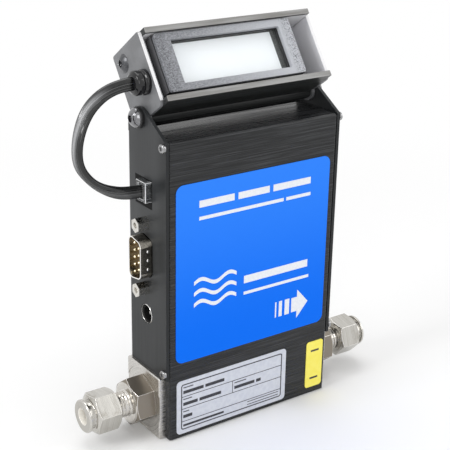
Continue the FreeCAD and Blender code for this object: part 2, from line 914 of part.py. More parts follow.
def modular_plug():
    """Clear plug with its spring latch behind; the flat cord ends on its outer face."""
    length, deep, tall = plug_size
    body, latch = plug_cavity(0.0)
    x0 = -half_width - plug_stand
    inner_edges = [edge for edge in body.Edges if abs(edge.CenterOfMass.x - x0 - length) < 0.01]
    body = body.makeChamfer(plug_chamfer, inner_edges)
    rear = plug_y + deep / 2
    slot = box(x0 + latch_ends[0], x0 + latch_size[0] - latch_ends[1], rear, rear + latch_slot,
               plug_height - tall, plug_height + tall)
    return fuse([body, latch.cut(slot)])


# Board in the case

def board_holes():
    """Three holes near corners; the upper left one stands clear of the sockets."""
    left = board_left + board_hole_inset
    right = board_right - board_hole_inset
    low = board_low + board_hole_inset
    high = board_high - board_hole_inset
    return [(left, low), (right, low), (right, high), (board_left + board_hole_inset_sockets, high)]


def main_board():
    board = slab_y(rectangle(board_left, board_right, board_low, board_high, 1.0), board_face, board_back)
    for x, z in board_holes():
        board = board.cut(rod(board_screw_r + screw_gap, vec(x, board_face, z), board_sheet, Y_AXIS))
    return board


def board_spacers():
    spacers = []
    for x, z in board_holes():
        spacer = rod(board_spacer_r, vec(x, board_back, z), board_to_rear, Y_AXIS)
        spacers.append(spacer.cut(rod(board_screw_r + screw_gap, vec(x, board_back, z), board_to_rear, Y_AXIS)))
    return Part.makeCompound(spacers)


def board_screws():
    screws = []
    for x, z in board_holes():
        head = rod(board_screw_head_r, vec(x, board_face - board_screw_head, z), board_screw_head, Y_AXIS)
        shank = rod(board_screw_r, vec(x, board_face, z), board_sheet + board_to_rear * 0.9, Y_AXIS)
        screws.append(fuse([head, shank]))
    return Part.makeCompound(screws)


def on_board(across, up):
    """X and Z of a place on the board, as shares of its width and height."""
    return board_left + across * (board_right - board_left), board_low + up * (board_high - board_low)


def board_chips():
    """Surface-mounted circuits: place on the board, length and height of each."""
    chips = []
    for across, up, length, height in ((0.60, 0.44, 12.0, 9.0), (0.60, 0.72, 10.0, 7.5),
                                       (0.82, 0.47, 7.5, 10.0), (0.40, 0.27, 6.0, 5.0)):
        x, z = on_board(across, up)
        chips.append(box(x - length / 2, x + length / 2, board_face - chip_height, board_face,
                         z - height / 2, z + height / 2))
    return Part.makeCompound(chips)


def board_capacitors():
    radius, height = capacitor_size
    cans = []
    for across, up in ((0.34, 0.87), (0.82, 0.29), (0.48, 0.92)):
        x, z = on_board(across, up)
        cans.append(rod(radius, vec(x, board_face - height, z), height, Y_AXIS))
    return Part.makeCompound(cans)


def trim_potentiometers():
    """A column of four trimmers near the board's right edge, screws outwards."""
    length, deep, tall = trim_size
    x = on_board(0.83, 0)[0]
    lowest = board_high - trim_drop - trim_count * trim_pitch
    trims = []
    for i in range(trim_count):
        low = lowest + i * trim_pitch
        trim = box(x, x + length, board_face - deep, board_face, low, low + tall)
        screw = rod(trim_screw_r, vec(x + length, board_face - deep / 2, low + tall / 2), trim_screw_stand)
        trims.append(fuse([trim, screw]))
    return Part.makeCompound(trims)


# Readout, drawn upright about the hinge axis

def readout_outline(front, inset, toe_r, corner_r, heel):
    """Side view of the readout's housing in (Y, Z), brought in by an inset."""
    back = readout_back - inset
    top = readout_top - inset
    bottom = -readout_bottom + inset
    return [(-front, bottom, toe_r), (back, bottom, heel), (back, top, corner_r), (-front, top, toe_r)]


def readout_channel():
    """Extruded channel with a round heel and two screw ports, one on the hinge axis."""
    outer = slab_x(readout_outline(channel_front, 0, 0, top_corner_r, heel_r), -channel_half, channel_half)
    inner = slab_x(readout_outline(channel_front + 5, channel_wall, 0, 0,
                                   heel_r - channel_wall), -channel_half - 1, channel_half + 1)
    upper = rod(upper_boss_r, vec(-channel_half, plate_screw_y, plate_screw_height), 2 * channel_half)
    rib = box(-channel_half, channel_half, plate_screw_y - upper_rib / 2, plate_screw_y + upper_rib / 2,
              plate_screw_height, readout_top - channel_wall / 2)
    lower = rod(port_boss_r, vec(-channel_half, 0, 0), 2 * channel_half)
    channel = fuse([outer.cut(inner), upper, rib, lower])
    ports = [
        rod(plate_screw_r + screw_gap, vec(-channel_half, plate_screw_y, plate_screw_height), 2 * channel_half),
        rod(pivot_r + screw_gap, vec(-channel_half, 0, 0), 2 * channel_half),
    ]
    return leaned(channel.cut(Part.makeCompound(ports)))


def readout_plate(side):
    """End plate with a round lug about the hinge."""
    x0, x1 = sorted((side * channel_half, side * readout_half_width))
    corners = readout_outline(plate_front, 0, plate_corner_r, plate_corner_r, heel_r)
    corners[0] = (corners[0][0], corners[0][1], plate_toe_r)
    plate = fuse([slab_x(corners, x0, x1), rod(lug_r, vec(x0, 0, 0), x1 - x0)])
    holes = [rod(pivot_r + screw_gap, vec(x0 - 1, 0, 0), 4),
             rod(plate_screw_r + screw_gap, vec(x0 - 1, plate_screw_y, plate_screw_height), 4)]
    if side < 0:
        holes.append(rod(bushing_neck_r, vec(x0 - 1, bushing_y, bushing_height), 4))
    return leaned(plate.cut(Part.makeCompound(holes)))


def plate_screws():
    screws = []
    for side in (-1, 1):
        screw = button_screw(plate_screw_head_r, plate_screw_head, plate_screw_r, plate_screw_reach,
                             screw_key)
        screw = facing(screw, side)
        screw.translate(vec(side * readout_half_width, plate_screw_y, plate_screw_height))
        screws.append(screw)
    return leaned(Part.makeCompound(screws))


def pivot_screws():
    """Hinge screws through the ears, the end plates and into the channel's lower port."""
    screws = []
    for side in (-1, 1):
        under_head = half_width + pivot_washer_gap + pivot_washer
        reach = under_head - readout_half_width + pivot_screw_reach
        screw = button_screw(pivot_head_r, pivot_head, pivot_r, reach, screw_key)
        screw = facing(screw, side)
        screw.translate(vec(side * under_head, 0, 0))
        screws.append(screw)
    return leaned(Part.makeCompound(screws))


def pivot_washers():
    """Friction washers between the ears and the hinge screws' heads."""
    washers = []
    for side in (-1, 1):
        washer = turned([(0, pivot_r + screw_gap), (0, pivot_washer_r), (pivot_washer - 0.3, pivot_washer_r),
                         (pivot_washer, pivot_washer_r - 0.3), (pivot_washer, pivot_r + screw_gap)])
        washer = facing(washer, side)
        washer.translate(vec(side * (half_width + pivot_washer_gap), 0, 0))
        washers.append(washer)
    return leaned(Part.makeCompound(washers))


def readout_bezel():
    plate = slab_y(rectangle(bezel_left, bezel_right, bezel_low, bezel_high, bezel_corner_r),
                   -bezel_front, -bezel_back)
    window = slab_y(rectangle(window_left, window_right, window_low, window_high, window_corner_r),
                    -bezel_front - 1, -bezel_back + 1)
    return leaned(plate.cut(window))


def glass_box():
    return (window_left - glass_border, window_right + glass_border, window_low - glass_border,
            window_high + glass_border)


def lcd_frame():
    """Frame of the display module: a mask in front, a pocket for the glass and the light behind."""
    left, right, low, high = glass_box()
    frame = box(bezel_left - module_step, bezel_right + module_step, -bezel_back, -frame_back,
                bezel_low + bezel_gap, bezel_high - bezel_gap)
    mask = box(window_left + view_margin, window_right - view_margin, -bezel_front, 0,
               window_low + view_margin / 2, window_high - view_margin / 2)
    pocket = box(left, right, -bezel_back + glass_recess, 0, low, high)
    return leaned(frame.cut(fuse([mask, pocket])))


def lcd_glass():
    left, right, low, high = glass_box()
    front = -bezel_back + glass_recess
    return leaned(box(left + sheet_gap, right - sheet_gap, front, front + glass_sheet, low + sheet_gap,
                      high - sheet_gap))


def backlight():
    left, right, low, high = glass_box()
    front = -bezel_back + glass_recess + glass_sheet
    return leaned(box(left + sheet_gap, right - sheet_gap, front, -frame_back, low + sheet_gap, high - sheet_gap))


def readout_board():
    board = box(bezel_left - 2 * module_step, bezel_right + 2 * module_step, -frame_back, -board_plane,
                bezel_low, bezel_high - bezel_gap)
    return leaned(board)


def readout_standoffs():
    """Four posts that carry the display module on the channel's back wall."""
    posts = []
    inner_back = readout_back - channel_wall
    low = heel_r - readout_bottom + standoff_r + standoff_space_low
    high = plate_screw_height - upper_boss_r - standoff_r - standoff_space_high
    for x in (bezel_left + standoff_inset, bezel_right - standoff_inset):
        for z in (low, high):
            posts.append(rod(standoff_r, vec(x, -board_plane, z), inner_back + board_plane, Y_AXIS))
    return leaned(Part.makeCompound(posts))


def cord_bushing():
    """Snap-in strain relief: lip and neck in the plate, flange, waist and a rounded bulb outside."""
    start = readout_half_width
    end = start + bushing_length
    lip = channel_half - 0.02
    waist = start + bushing_flange + 0.5
    bushing = turned([(lip - bushing_lip, 0), (lip - bushing_lip, bushing_neck_r), (lip - 0.3, bushing_lip_r),
                      (lip, bushing_lip_r), (lip, bushing_neck_r - screw_gap), (start, bushing_neck_r - screw_gap),
                      (start, bushing_r), (start + bushing_flange, bushing_r, 0.4), (waist, bushing_waist_r, 0.3),
                      (waist + 0.9, bushing_bulb_r, 0.5), (end - 0.8, bushing_bulb_r, 0.9),
                      (end, bushing_nose_r, 0.4), (end, 0)])
    bushing = facing(bushing, -1)
    bushing.translate(vec(0, bushing_y, bushing_height))
    return leaned(bushing)


def cord_path():
    """Straight runs joined by tangent arcs; returns the wire and the arcs' radii."""
    points = [vec(*place) for place in cord_route]
    edges = []
    radii = []
    last = points[0]
    for i in range(1, len(points) - 1):
        here = points[i]
        back = points[i - 1] - here
        ahead = points[i + 1] - here
        shorter = min(back.Length, ahead.Length)
        half_turn = (math.pi - back.getAngle(ahead)) / 2
        radius = 0.45 * shorter / math.tan(half_turn)
        back.normalize()
        ahead.normalize()
        start = here + back * 0.45 * shorter
        stop = here + ahead * 0.45 * shorter
        inward = back + ahead
        inward.normalize()
        centre = here + inward * (radius / math.cos(half_turn))
        middle = centre - inward * radius
        edges.append(Part.LineSegment(last, start).toShape())
        edges.append(Part.Arc(start, middle, stop).toShape())
        radii.append(radius)
        last = stop
    edges.append(Part.LineSegment(last, points[-1]).toShape())
    return Part.Wire(edges), radii


def display_cord():
    """Flat cord, wide side along Y, swept round its loop."""
    path, radii = cord_path()
    start = vec(*cord_route[0])
    along = vec(*cord_route[1]) - start
    along.normalize()
    across = Y_AXIS.cross(along)
    half_flat = (cord_width - cord_thickness) / 2
    r = cord_thickness / 2
    a = start + Y_AXIS * half_flat + across * r
    b = start - Y_AXIS * half_flat + across * r
    c = start - Y_AXIS * half_flat - across * r
    d = start + Y_AXIS * half_flat - across * r
    left_tip = start - Y_AXIS * (half_flat + r)
    right_tip = start + Y_AXIS * (half_flat + r)
    section = Part.Wire([
        Part.LineSegment(a, b).toShape(), Part.Arc(b, left_tip, c).toShape(),
        Part.LineSegment(c, d).toShape(), Part.Arc(d, right_tip, a).toShape(),
    ])
    cord = path.makePipeShell([section], True, False)
    area = Part.Face(section).Area
    print("cord radii", [round(value, 1) for value in radii], "length", round(path.Length, 1))
    print("cord volume", round(cord.Volume, 1), "section times length", round(area * path.Length, 1))
    return cord


def build():
    parts = {
        "base_block": base_block(),
        "bypass_element": bypass_element(),
        "sensor_base": sensor_base(),
        "sensor_tube": sensor_tube(),
        "sensor_windings": sensor_windings(),
        "sensor_cover": sensor_cover(),
        "front_cover": front_cover(),
        "rear_cover": rear_cover(),
        "cover_screws": cover_screws(),
        "base_screws": base_screws(),
        "front_label": front_label(),
        "spec_label": spec_label(),
        "caution_label": caution_label(),
        "connector_shell": connector_shell(),
        "connector_insert": connector_insert(),
        "connector_pins": connector_pins(),
        "connector_jackscrews": connector_jackscrews(),
        "power_jack": power_jack(),
        "power_jack_pin": power_jack_pin(),
        "modular_jack": modular_jack(),
        "modular_plug": modular_plug(),
        "main_board": main_board(),
        "board_spacers": board_spacers(),
        "board_screws": board_screws(),
        "board_chips": board_chips(),
        "board_capacitors": board_capacitors(),
        "trim_potentiometers": trim_potentiometers(),
        "readout_channel": readout_channel(),
        "readout_left_plate": readout_plate(-1),
        "readout_right_plate": readout_plate(1),
        "plate_screws": plate_screws(),
        "pivot_screws": pivot_screws(),
        "pivot_washers": pivot_washers(),
        "readout_bezel": readout_bezel(),
        "lcd_frame": lcd_frame(),
        "lcd_glass": lcd_glass(),
        "backlight": backlight(),
        "readout_board": readout_board(),
        "readout_standoffs": readout_standoffs(),
        "cord_bushing": cord_bushing(),
        "display_cord": display_cord(),
    }
    for i, name, side in ((0, "inlet", -1), (1, "outlet", 1)):
        parts[name + "_fitting_body"] = at_port(fitting_body(body_hex_turn[i]), side)
        parts[name + "_nut"] = at_port(fitting_nut(nut_hex_turn[i]), side)
        parts[name + "_front_ferrule"] = at_port(front_ferrule(), side)
        parts[name + "_back_ferrule"] = at_port(back_ferrule(), side)
        parts[name + "_seal"] = at_port(seal_ring(), side)
    return parts


os.makedirs("parts", exist_ok=True)
for node, solid in build().items():
    solid.exportStep("parts/" + node + ".step")
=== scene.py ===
import bpy
import bmesh
import math
from mathutils import Matrix, Vector


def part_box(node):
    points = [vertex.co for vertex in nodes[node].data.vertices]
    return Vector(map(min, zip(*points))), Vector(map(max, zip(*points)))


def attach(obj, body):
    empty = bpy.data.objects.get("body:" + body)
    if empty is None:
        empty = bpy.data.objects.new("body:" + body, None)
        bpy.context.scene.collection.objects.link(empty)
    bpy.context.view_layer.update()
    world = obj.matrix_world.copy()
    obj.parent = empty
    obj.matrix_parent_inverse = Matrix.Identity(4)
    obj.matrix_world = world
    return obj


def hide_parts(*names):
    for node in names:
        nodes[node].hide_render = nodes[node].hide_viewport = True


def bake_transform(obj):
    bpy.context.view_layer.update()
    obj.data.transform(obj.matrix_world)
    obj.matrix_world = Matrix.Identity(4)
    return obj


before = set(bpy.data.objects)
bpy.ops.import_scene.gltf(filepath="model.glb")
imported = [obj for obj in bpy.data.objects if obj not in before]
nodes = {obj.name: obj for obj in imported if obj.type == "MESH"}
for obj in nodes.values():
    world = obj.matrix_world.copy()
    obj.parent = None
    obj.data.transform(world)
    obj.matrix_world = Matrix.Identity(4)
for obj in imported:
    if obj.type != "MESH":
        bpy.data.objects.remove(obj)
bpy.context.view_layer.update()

# Viewpoint of the photograph: a long lens, above and to the left of the front, rolled by a degree.
# It was fitted to the case's edges and to the spacing of the nine-pin connector.
view_azimuth, view_elevation, view_roll = 35.09, 21.28, 1.02
eye = Vector((-0.2283, -0.3204, 0.2273))
focal_pixels, image_pixels, sensor_width = 1123.5, 450, 36.0
nearest_seen, farthest_seen = 0.01, 20.0
az, el, roll = (math.radians(angle) for angle in (view_azimuth, view_elevation, view_roll))
looking = Vector((math.sin(az) * math.cos(el), math.cos(az) * math.cos(el), -math.sin(el)))
level = looking.cross(Vector((0, 0, 1))).normalized()
upward = level.cross(looking).normalized()
camera_right = level * math.cos(roll) + upward * math.sin(roll)
camera_up = upward * math.cos(roll) - level * math.sin(roll)
camera_data = bpy.data.cameras.new("photo_view")
camera_data.sensor_width = sensor_width
camera_data.lens = focal_pixels / image_pixels * sensor_width
camera_data.clip_start = nearest_seen
camera_data.clip_end = farthest_seen
camera = bpy.data.objects.new("photo_view", camera_data)
bpy.context.scene.collection.objects.link(camera)
camera.matrix_world = Matrix((camera_right, camera_up, -looking)).transposed().to_4x4()
camera.location = eye
bpy.context.scene.camera = camera
bpy.context.scene.view_settings.view_transform = "Standard"

# Flow body: one bar of stainless steel, milled square along its length, with the flow bore through
# it. The ends are faced off, and a round spot face is turned into each where a fitting seals.
flow_axis_z, end_face_x = 0.0127, 0.0389
hair = 0.0001
rings_to_the_metre = 2600
steel_colour, steel_dark, steel_light = (0.50, 0.485, 0.46), (0.33, 0.31, 0.285), (0.66, 0.64, 0.61)


def finish(name, colour, roughness, metallic=0.0, shine=0.5):
    """A finish in one colour, for the marks and tints that follow; shine is its specular level."""
    material = bpy.data.materials.new(name)
    material.use_nodes = True
    shader = material.node_tree.nodes["Principled BSDF"]
    shader.inputs["Base Color"].default_value = (*colour, 1)
    shader.inputs["Roughness"].default_value = roughness
    shader.inputs["Metallic"].default_value = metallic
    shader.inputs["Specular IOR Level"].default_value = shine
    return material


def reckon(material, operation, *values):
    """Arithmetic on a finish's marks and on numbers."""
    node = material.node_tree.nodes.new("ShaderNodeMath")
    node.operation = operation
    for place, value in zip(node.inputs, values):
        if isinstance(value, (int, float)):
            place.default_value = value
        else:
            material.node_tree.links.new(value, place)
    return node.outputs[0]


def spread(material, value, low, high):
    """Stretches a value so that low gives 0 and high gives 1."""
    node = material.node_tree.nodes.new("ShaderNodeMapRange")
    node.interpolation_type = "SMOOTHSTEP"
    material.node_tree.links.new(value, node.inputs["Value"])
    node.inputs["From Min"].default_value = low
    node.inputs["From Max"].default_value = high
    return node.outputs["Result"]


def together(material, *wheres):
    """Marks only where all the given ones lie, each by its own strength."""
    where = wheres[0]
    for other in wheres[1:]:
        where = reckon(material, "MULTIPLY", where, other)
    return where


def place_on(material, scale=(1, 1, 1), turn=0.0, shift=(0, 0, 0)):
    """Place on the piece in metres, turned about X, then moved and scaled."""
    tree = material.node_tree
    place = tree.nodes.new("ShaderNodeTexCoord")
    mapping = tree.nodes.new("ShaderNodeMapping")
    mapping.inputs["Rotation"].default_value = (turn, 0, 0)
    mapping.inputs["Location"].default_value = shift
    tree.links.new(place.outputs["Object"], mapping.inputs["Vector"])
    if scale == (1, 1, 1):
        return mapping.outputs["Vector"]
    stretch = tree.nodes.new("ShaderNodeVectorMath")
    stretch.operation = "MULTIPLY"
    stretch.inputs[1].default_value = scale
    tree.links.new(mapping.outputs["Vector"], stretch.inputs[0])
    return stretch.outputs["Vector"]


def parts_of(material, vector):
    """The X, Y and Z of a place."""
    split = material.node_tree.nodes.new("ShaderNodeSeparateXYZ")
    material.node_tree.links.new(vector, split.inputs[0])
    return list(split.outputs)


def marks(material, per_metre, low=0.35, high=0.65, detail=4.0, vector=None):
    """Uneven marks from 0 to 1, so many to the metre in every direction, or along X, Y and Z."""
    scale = (per_metre,) * 3 if isinstance(per_metre, int) else per_metre
    tree = material.node_tree
    noise = tree.nodes.new("ShaderNodeTexNoise")
    noise.inputs["Scale"].default_value = 1.0
    noise.inputs["Detail"].default_value = detail
    tree.links.new(vector or place_on(material, scale), noise.inputs["Vector"])
    return spread(material, noise.outputs["Fac"], low, high)


def tint(material, where, colour):
    """Lays a colour over the finish, as much as where says."""
    tree = material.node_tree
    base = tree.nodes["Principled BSDF"].inputs["Base Color"]
    mix = tree.nodes.new("ShaderNodeMix")
    mix.data_type = "RGBA"
    under, over = mix.inputs[6], mix.inputs[7]
    if base.is_linked:
        tree.links.new(base.links[0].from_socket, under)
    else:
        under.default_value = base.default_value
    over.default_value = (*colour, 1)
    tree.links.new(where, mix.inputs[0])
    tree.links.new(mix.outputs[2], base)


def dull(material, where, low, high):
    """Lets the gloss run from low roughness to high as where goes from 0 to 1."""
    amount = reckon(material, "MULTIPLY_ADD", where, high - low, low)
    material.node_tree.links.new(amount, material.node_tree.nodes["Principled BSDF"].inputs["Roughness"])


def raised(material, where, height):
    """Raises the surface by a height in metres where the marks are strong."""
    tree = material.node_tree
    normal = tree.nodes["Principled BSDF"].inputs["Normal"]
    bump = tree.nodes.new("ShaderNodeBump")
    bump.inputs["Distance"].default_value = height
    if normal.is_linked:
        tree.links.new(normal.links[0].from_socket, bump.inputs["Normal"])
    tree.links.new(where, bump.inputs["Height"])
    tree.links.new(bump.outputs["Normal"], normal)


def wear(piece, width, edge_finish=None, segments=2):
    """Breaks a piece's sharp edges by a small width, with a finish of their own."""
    same_point, sharp_from = 1e-6, math.radians(35)
    weld = piece.modifiers.new("one_skin", "WELD")
    weld.merge_threshold = same_point
    bevel = piece.modifiers.new("broken_edges", "BEVEL")
    bevel.width = width
    bevel.segments = segments
    bevel.limit_method = "ANGLE"
    bevel.angle_limit = sharp_from
    bevel.harden_normals = True
    if edge_finish:
        piece.data.materials.append(edge_finish)
        bevel.material = len(piece.data.materials) - 1


def dress(names, material, edge_width=0.0, edge_finish=None, segments=2):
    """Gives CAD pieces their finish, and breaks their edges."""
    for name in names:
        piece = nodes[name]
        piece.data.materials.clear()
        piece.data.materials.append(material)
        if edge_width:
            wear(piece, edge_width, edge_finish, segments)


def round_flow_axis(material):
    """Distance from the flow axis, and the place along it."""
    x, y, z = parts_of(material, place_on(material, shift=(0, 0, -flow_axis_z)))
    across = reckon(material, "MULTIPLY", y, y)
    up = reckon(material, "MULTIPLY", z, z)
    return reckon(material, "SQRT", reckon(material, "ADD", across, up)), x


milled_steel = finish("milled_steel", steel_colour, roughness=0.3, metallic=1.0)
cutter_lines = marks(milled_steel, (25, 2400, 2400))
radius, along = round_flow_axis(milled_steel)
turning = milled_steel.node_tree.nodes.new("ShaderNodeCombineXYZ")
ring_count = reckon(milled_steel, "MULTIPLY", radius, rings_to_the_metre)
milled_steel.node_tree.links.new(ring_count, turning.inputs[0])
turned_rings = marks(milled_steel, None, vector=turning.outputs[0], low=0.4, high=0.6)
on_end = spread(milled_steel, reckon(milled_steel, "ABSOLUTE", along), end_face_x, end_face_x + hair)
off_end = reckon(milled_steel, "SUBTRACT", 1, on_end)
tool_marks = reckon(milled_steel, "ADD", together(milled_steel, turned_rings, on_end),
                    together(milled_steel, cutter_lines, off_end))
tint(milled_steel, tool_marks, steel_light)
tint(milled_steel, marks(milled_steel, 90, 0.5, 0.8), steel_dark)
dull(milled_steel, tool_marks, low=0.2, high=0.42)
raised(milled_steel, tool_marks, height=0.000012)
bright_edge = finish("deburred_steel", steel_light, roughness=0.2, metallic=1.0)
dress(["base_block"], milled_steel, edge_width=0.00008, edge_finish=bright_edge)

# Bypass, sensor base, capillary and windings: the sensor that is sealed up under its cap on the
# flow body. Steel parts, a bright capillary and two windings of enamelled copper wire.
dress(["bypass_element", "sensor_base"], milled_steel)
capillary_steel = finish("drawn_capillary", steel_light, roughness=0.18, metallic=1.0)
raised(capillary_steel, marks(capillary_steel, (3000, 3000, 200)), height=0.000004)
dress(["sensor_tube"], capillary_steel)
winding_wire = finish("enamelled_wire", (0.62, 0.24, 0.09), roughness=0.25, metallic=0.7)
wire_turns = marks(winding_wire, (9000, 10, 10), detail=0)
tint(winding_wire, wire_turns, (0.32, 0.10, 0.03))
raised(winding_wire, wire_turns, height=0.00005)
dress(["sensor_windings"], winding_wire)
plain_aluminium = finish("plain_aluminium", (0.62, 0.62, 0.63), roughness=0.4, metallic=1.0)
dull(plain_aluminium, marks(plain_aluminium, (60, 60, 2500)), low=0.3, high=0.5)
tint(plain_aluminium, marks(plain_aluminium, (60, 60, 2500)), (0.74, 0.74, 0.75))
dress(["sensor_cover", "board_spacers"], plain_aluminium)

# Compression fittings at both ends: body, seal, two ferrules and a union nut, turned from bright
# hexagonal bar. The thread shows on the neck between the body's hexagon and the nut.
hexagon_low, bore_wall_r, bore_seen = 0.00785, 0.0033, 0.0560
lathe_grain = (5200, 40, 40)
bright_steel, steel_glint, steel_shade = (0.56, 0.535, 0.495), (0.68, 0.66, 0.625), (0.43, 0.40, 0.35)


def turned_steel(name, colour=bright_steel, light=steel_glint, dark=steel_shade):
    """Bright turned steel with fine lathe lines and a few dull spots."""
    material = finish(name, colour, roughness=0.16, metallic=1.0)
    lathe_lines = marks(material, lathe_grain, 0.4, 0.6)
    tint(material, lathe_lines, light)
    tint(material, marks(material, 140, 0.52, 0.75), dark)
    raised(material, lathe_lines, height=0.000005)
    return material


fitting_steel = turned_steel("turned_fitting_steel")
dull(fitting_steel, marks(fitting_steel, lathe_grain, 0.4, 0.6), low=0.1, high=0.24)
nut_steel = turned_steel("turned_nut_steel", (0.47, 0.455, 0.42), (0.585, 0.57, 0.535), (0.38, 0.36, 0.32))
# Painted light: near its mouth the nut's bore is painted pale cream, matt and almost without metal.
radius, along = round_flow_axis(nut_steel)
bore_painted_light = together(nut_steel, reckon(nut_steel, "LESS_THAN", radius, bore_wall_r),
                   reckon(nut_steel, "GREATER_THAN", reckon(nut_steel, "ABSOLUTE", along), bore_seen))
tint(nut_steel, bore_painted_light, (0.95, 0.92, 0.85))
dull(nut_steel, bore_painted_light, low=0.16, high=0.7)
metal_dropped_for_bore_light = 0.95
nut_steel.node_tree.links.new(reckon(nut_steel, "MULTIPLY_ADD", bore_painted_light, -metal_dropped_for_bore_light, 1.0),
                              nut_steel.node_tree.nodes["Principled BSDF"].inputs["Metallic"])
hexagon_steel = turned_steel("drawn_hexagon_steel")
# Painted reflection: every flat of the fitting bodies' hexagons is painted dark brown and duller.
flats_painted_dark_reflection = spread(hexagon_steel, round_flow_axis(hexagon_steel)[0], hexagon_low, hexagon_low + hair / 2)
tint(hexagon_steel, flats_painted_dark_reflection, (0.25, 0.222, 0.185))
dull(hexagon_steel, flats_painted_dark_reflection, low=0.14, high=0.36)
ground_edge = finish("chamfered_fitting_edge", (0.84, 0.82, 0.79), roughness=0.14, metallic=1.0)
seal_rubber = finish("seal_rubber", (0.018, 0.018, 0.02), roughness=0.5)
raised(seal_rubber, marks(seal_rubber, 3000), height=0.00001)
thread_pitch, thread_root, thread_crest = 0.00127, 0.00462, 0.00488
seat_x = 0.0391
thread_start, thread_end = seat_x + 0.0088, seat_x + 0.0128
flank_half, crest_half = 0.42, 0.06
steps_round, run_out_steps = 40, 12


def neck_thread(name, side):
    """A screw thread wound round the neck, running out at both ends."""
    mesh = bmesh.new()
    count = int((thread_end - thread_start) / thread_pitch * steps_round)
    foot = thread_root - hair
    rows = []
    for i in range(count + 1):
        angle = 2 * math.pi * i / steps_round
        middle = thread_start + thread_pitch * i / steps_round
        fade = min(1.0, i / run_out_steps, (count - i) / run_out_steps)
        crest = thread_root + (thread_crest - thread_root) * fade
        row = []
        for along, r in ((-flank_half, foot), (-crest_half, crest), (crest_half, crest), (flank_half, foot)):
            row.append(mesh.verts.new((side * (middle + along * thread_pitch), r * math.cos(angle),
                                       flow_axis_z + r * math.sin(angle))))
        rows.append(row)
    for a, b in zip(rows, rows[1:]):
        for j in range(len(a)):
            k = (j + 1) % len(a)
            mesh.faces.new((a[j], a[k], b[k], b[j]))
    mesh.faces.new(rows[0])
    mesh.faces.new(rows[-1][::-1])
    bmesh.ops.recalc_face_normals(mesh, faces=mesh.faces[:])
    return shown(mesh, name, fitting_steel, "case", smooth=False)


def shown(mesh, name, material, body, smooth=True):
    """Turns a drawn mesh into a piece with the given finish, riding on a body when one is given."""
    data = bpy.data.meshes.new(name)
    mesh.to_mesh(data)
    mesh.free()
    data.materials.append(material)
    for face in data.polygons:
        face.use_smooth = smooth
    piece = bpy.data.objects.new(name, data)
    bpy.context.scene.collection.objects.link(piece)
    if body:
        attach(piece, body)
    return piece


for end, side in (("inlet", -1), ("outlet", 1)):
    dress([end + "_fitting_body"], hexagon_steel, edge_width=0.00007, edge_finish=ground_edge)
    dress([end + "_nut"], nut_steel, edge_width=0.00007, edge_finish=ground_edge)
    dress([end + "_front_ferrule", end + "_back_ferrule"], fitting_steel)
    dress([end + "_seal"], seal_rubber)
    neck_thread(end + "_neck_thread", side)

# Circuit board behind the front cover, on four short spacers: green solder mask over copper
# tracks, with moulded chips, can capacitors and a column of blue trimmers.
board_mask = finish("solder_mask", (0.015, 0.13, 0.055), roughness=0.28)
board_tracks = marks(board_mask, (300, 300, 1400), 0.49, 0.51, detail=1)
tint(board_mask, board_tracks, (0.03, 0.24, 0.10))
raised(board_mask, board_tracks, height=0.00003)
dress(["main_board"], board_mask)
moulded_black = finish("moulded_black", (0.018, 0.018, 0.019), roughness=0.42)
moulded_grain = marks(moulded_black, 5000)
dull(moulded_black, moulded_grain, low=0.36, high=0.5)
raised(moulded_black, moulded_grain, height=0.000008)
dress(["board_chips"], moulded_black, edge_width=0.0001)
dress(["board_capacitors"], plain_aluminium, edge_width=0.0002)
trimmer_blue = finish("trimmer_blue", (0.03, 0.11, 0.48), roughness=0.35)
tint(trimmer_blue, marks(trimmer_blue, 900), (0.04, 0.14, 0.56))
raised(trimmer_blue, marks(trimmer_blue, 4000), height=0.000008)
dress(["trim_potentiometers"], trimmer_blue, edge_width=0.0001)
polished_screw = finish("polished_screw", (0.74, 0.74, 0.745), roughness=0.09, metallic=1.0)
dull(polished_screw, marks(polished_screw, 1500), low=0.05, high=0.16)
dress(["board_screws"], polished_screw, edge_width=0.0001)

# Nine-pin connector: a pressed and nickelled shell round a moulded insulator, gilt pins with
# rounded tips and two hexagonal posts. Dimples pressed in the shell's long sides grip the mate.
nickel_plate = finish("nickel_plate", (0.70, 0.685, 0.65), roughness=0.2, metallic=1.0)
plate_spots = marks(nickel_plate, 1300, 0.4, 0.7)
tint(nickel_plate, plate_spots, (0.56, 0.54, 0.50))
dull(nickel_plate, plate_spots, low=0.13, high=0.3)
nickel_rim = finish("nickel_rim", (0.90, 0.89, 0.87), roughness=0.2, metallic=1.0)
shell_rim_x, shell_front_ends, shell_rear_starts = -0.0427, 0.001, 0.003
# Painted reflection and highlight: the shell's nickel is painted dark, its rear wall pale, and its rim and
# edges near white.
shell_nickel = finish("shell_nickel", (0.26, 0.245, 0.215), roughness=0.24, metallic=1.0)
tint(shell_nickel, marks(shell_nickel, 1300, 0.4, 0.7), (0.16, 0.15, 0.13))
x, y = parts_of(shell_nickel, place_on(shell_nickel))[:2]
tint(shell_nickel, spread(shell_nickel, y, shell_front_ends, shell_rear_starts), (0.60, 0.56, 0.48))
tint(shell_nickel, reckon(shell_nickel, "LESS_THAN", x, shell_rim_x), (0.90, 0.88, 0.85))
dress(["connector_shell"], shell_nickel, edge_width=0.00019, edge_finish=nickel_rim)
dress(["connector_jackscrews"], nickel_plate, edge_width=0.00015, edge_finish=nickel_rim)
insulator_brown = finish("connector_insulator", (0.24, 0.185, 0.12), roughness=0.4)
tint(insulator_brown, marks(insulator_brown, 900), (0.34, 0.27, 0.18))
raised(insulator_brown, marks(insulator_brown, 4000), height=0.00001)
dress(["connector_insert"], insulator_brown)
gilt_pin = finish("gilt_pin", (0.93, 0.78, 0.46), roughness=0.14, metallic=1.0)
tint(gilt_pin, marks(gilt_pin, 2500), (0.98, 0.90, 0.70))
dress(["connector_pins"], gilt_pin)
dimple_r, dimple_rise, dimple_x = 0.00060, 0.00018, -0.0397
dimple_facets, dimple_rings = 20, 12
connector_y, connector_z, shell_half_depth, dimple_pitch = -0.00075, 0.07045, 0.0042, 0.0034


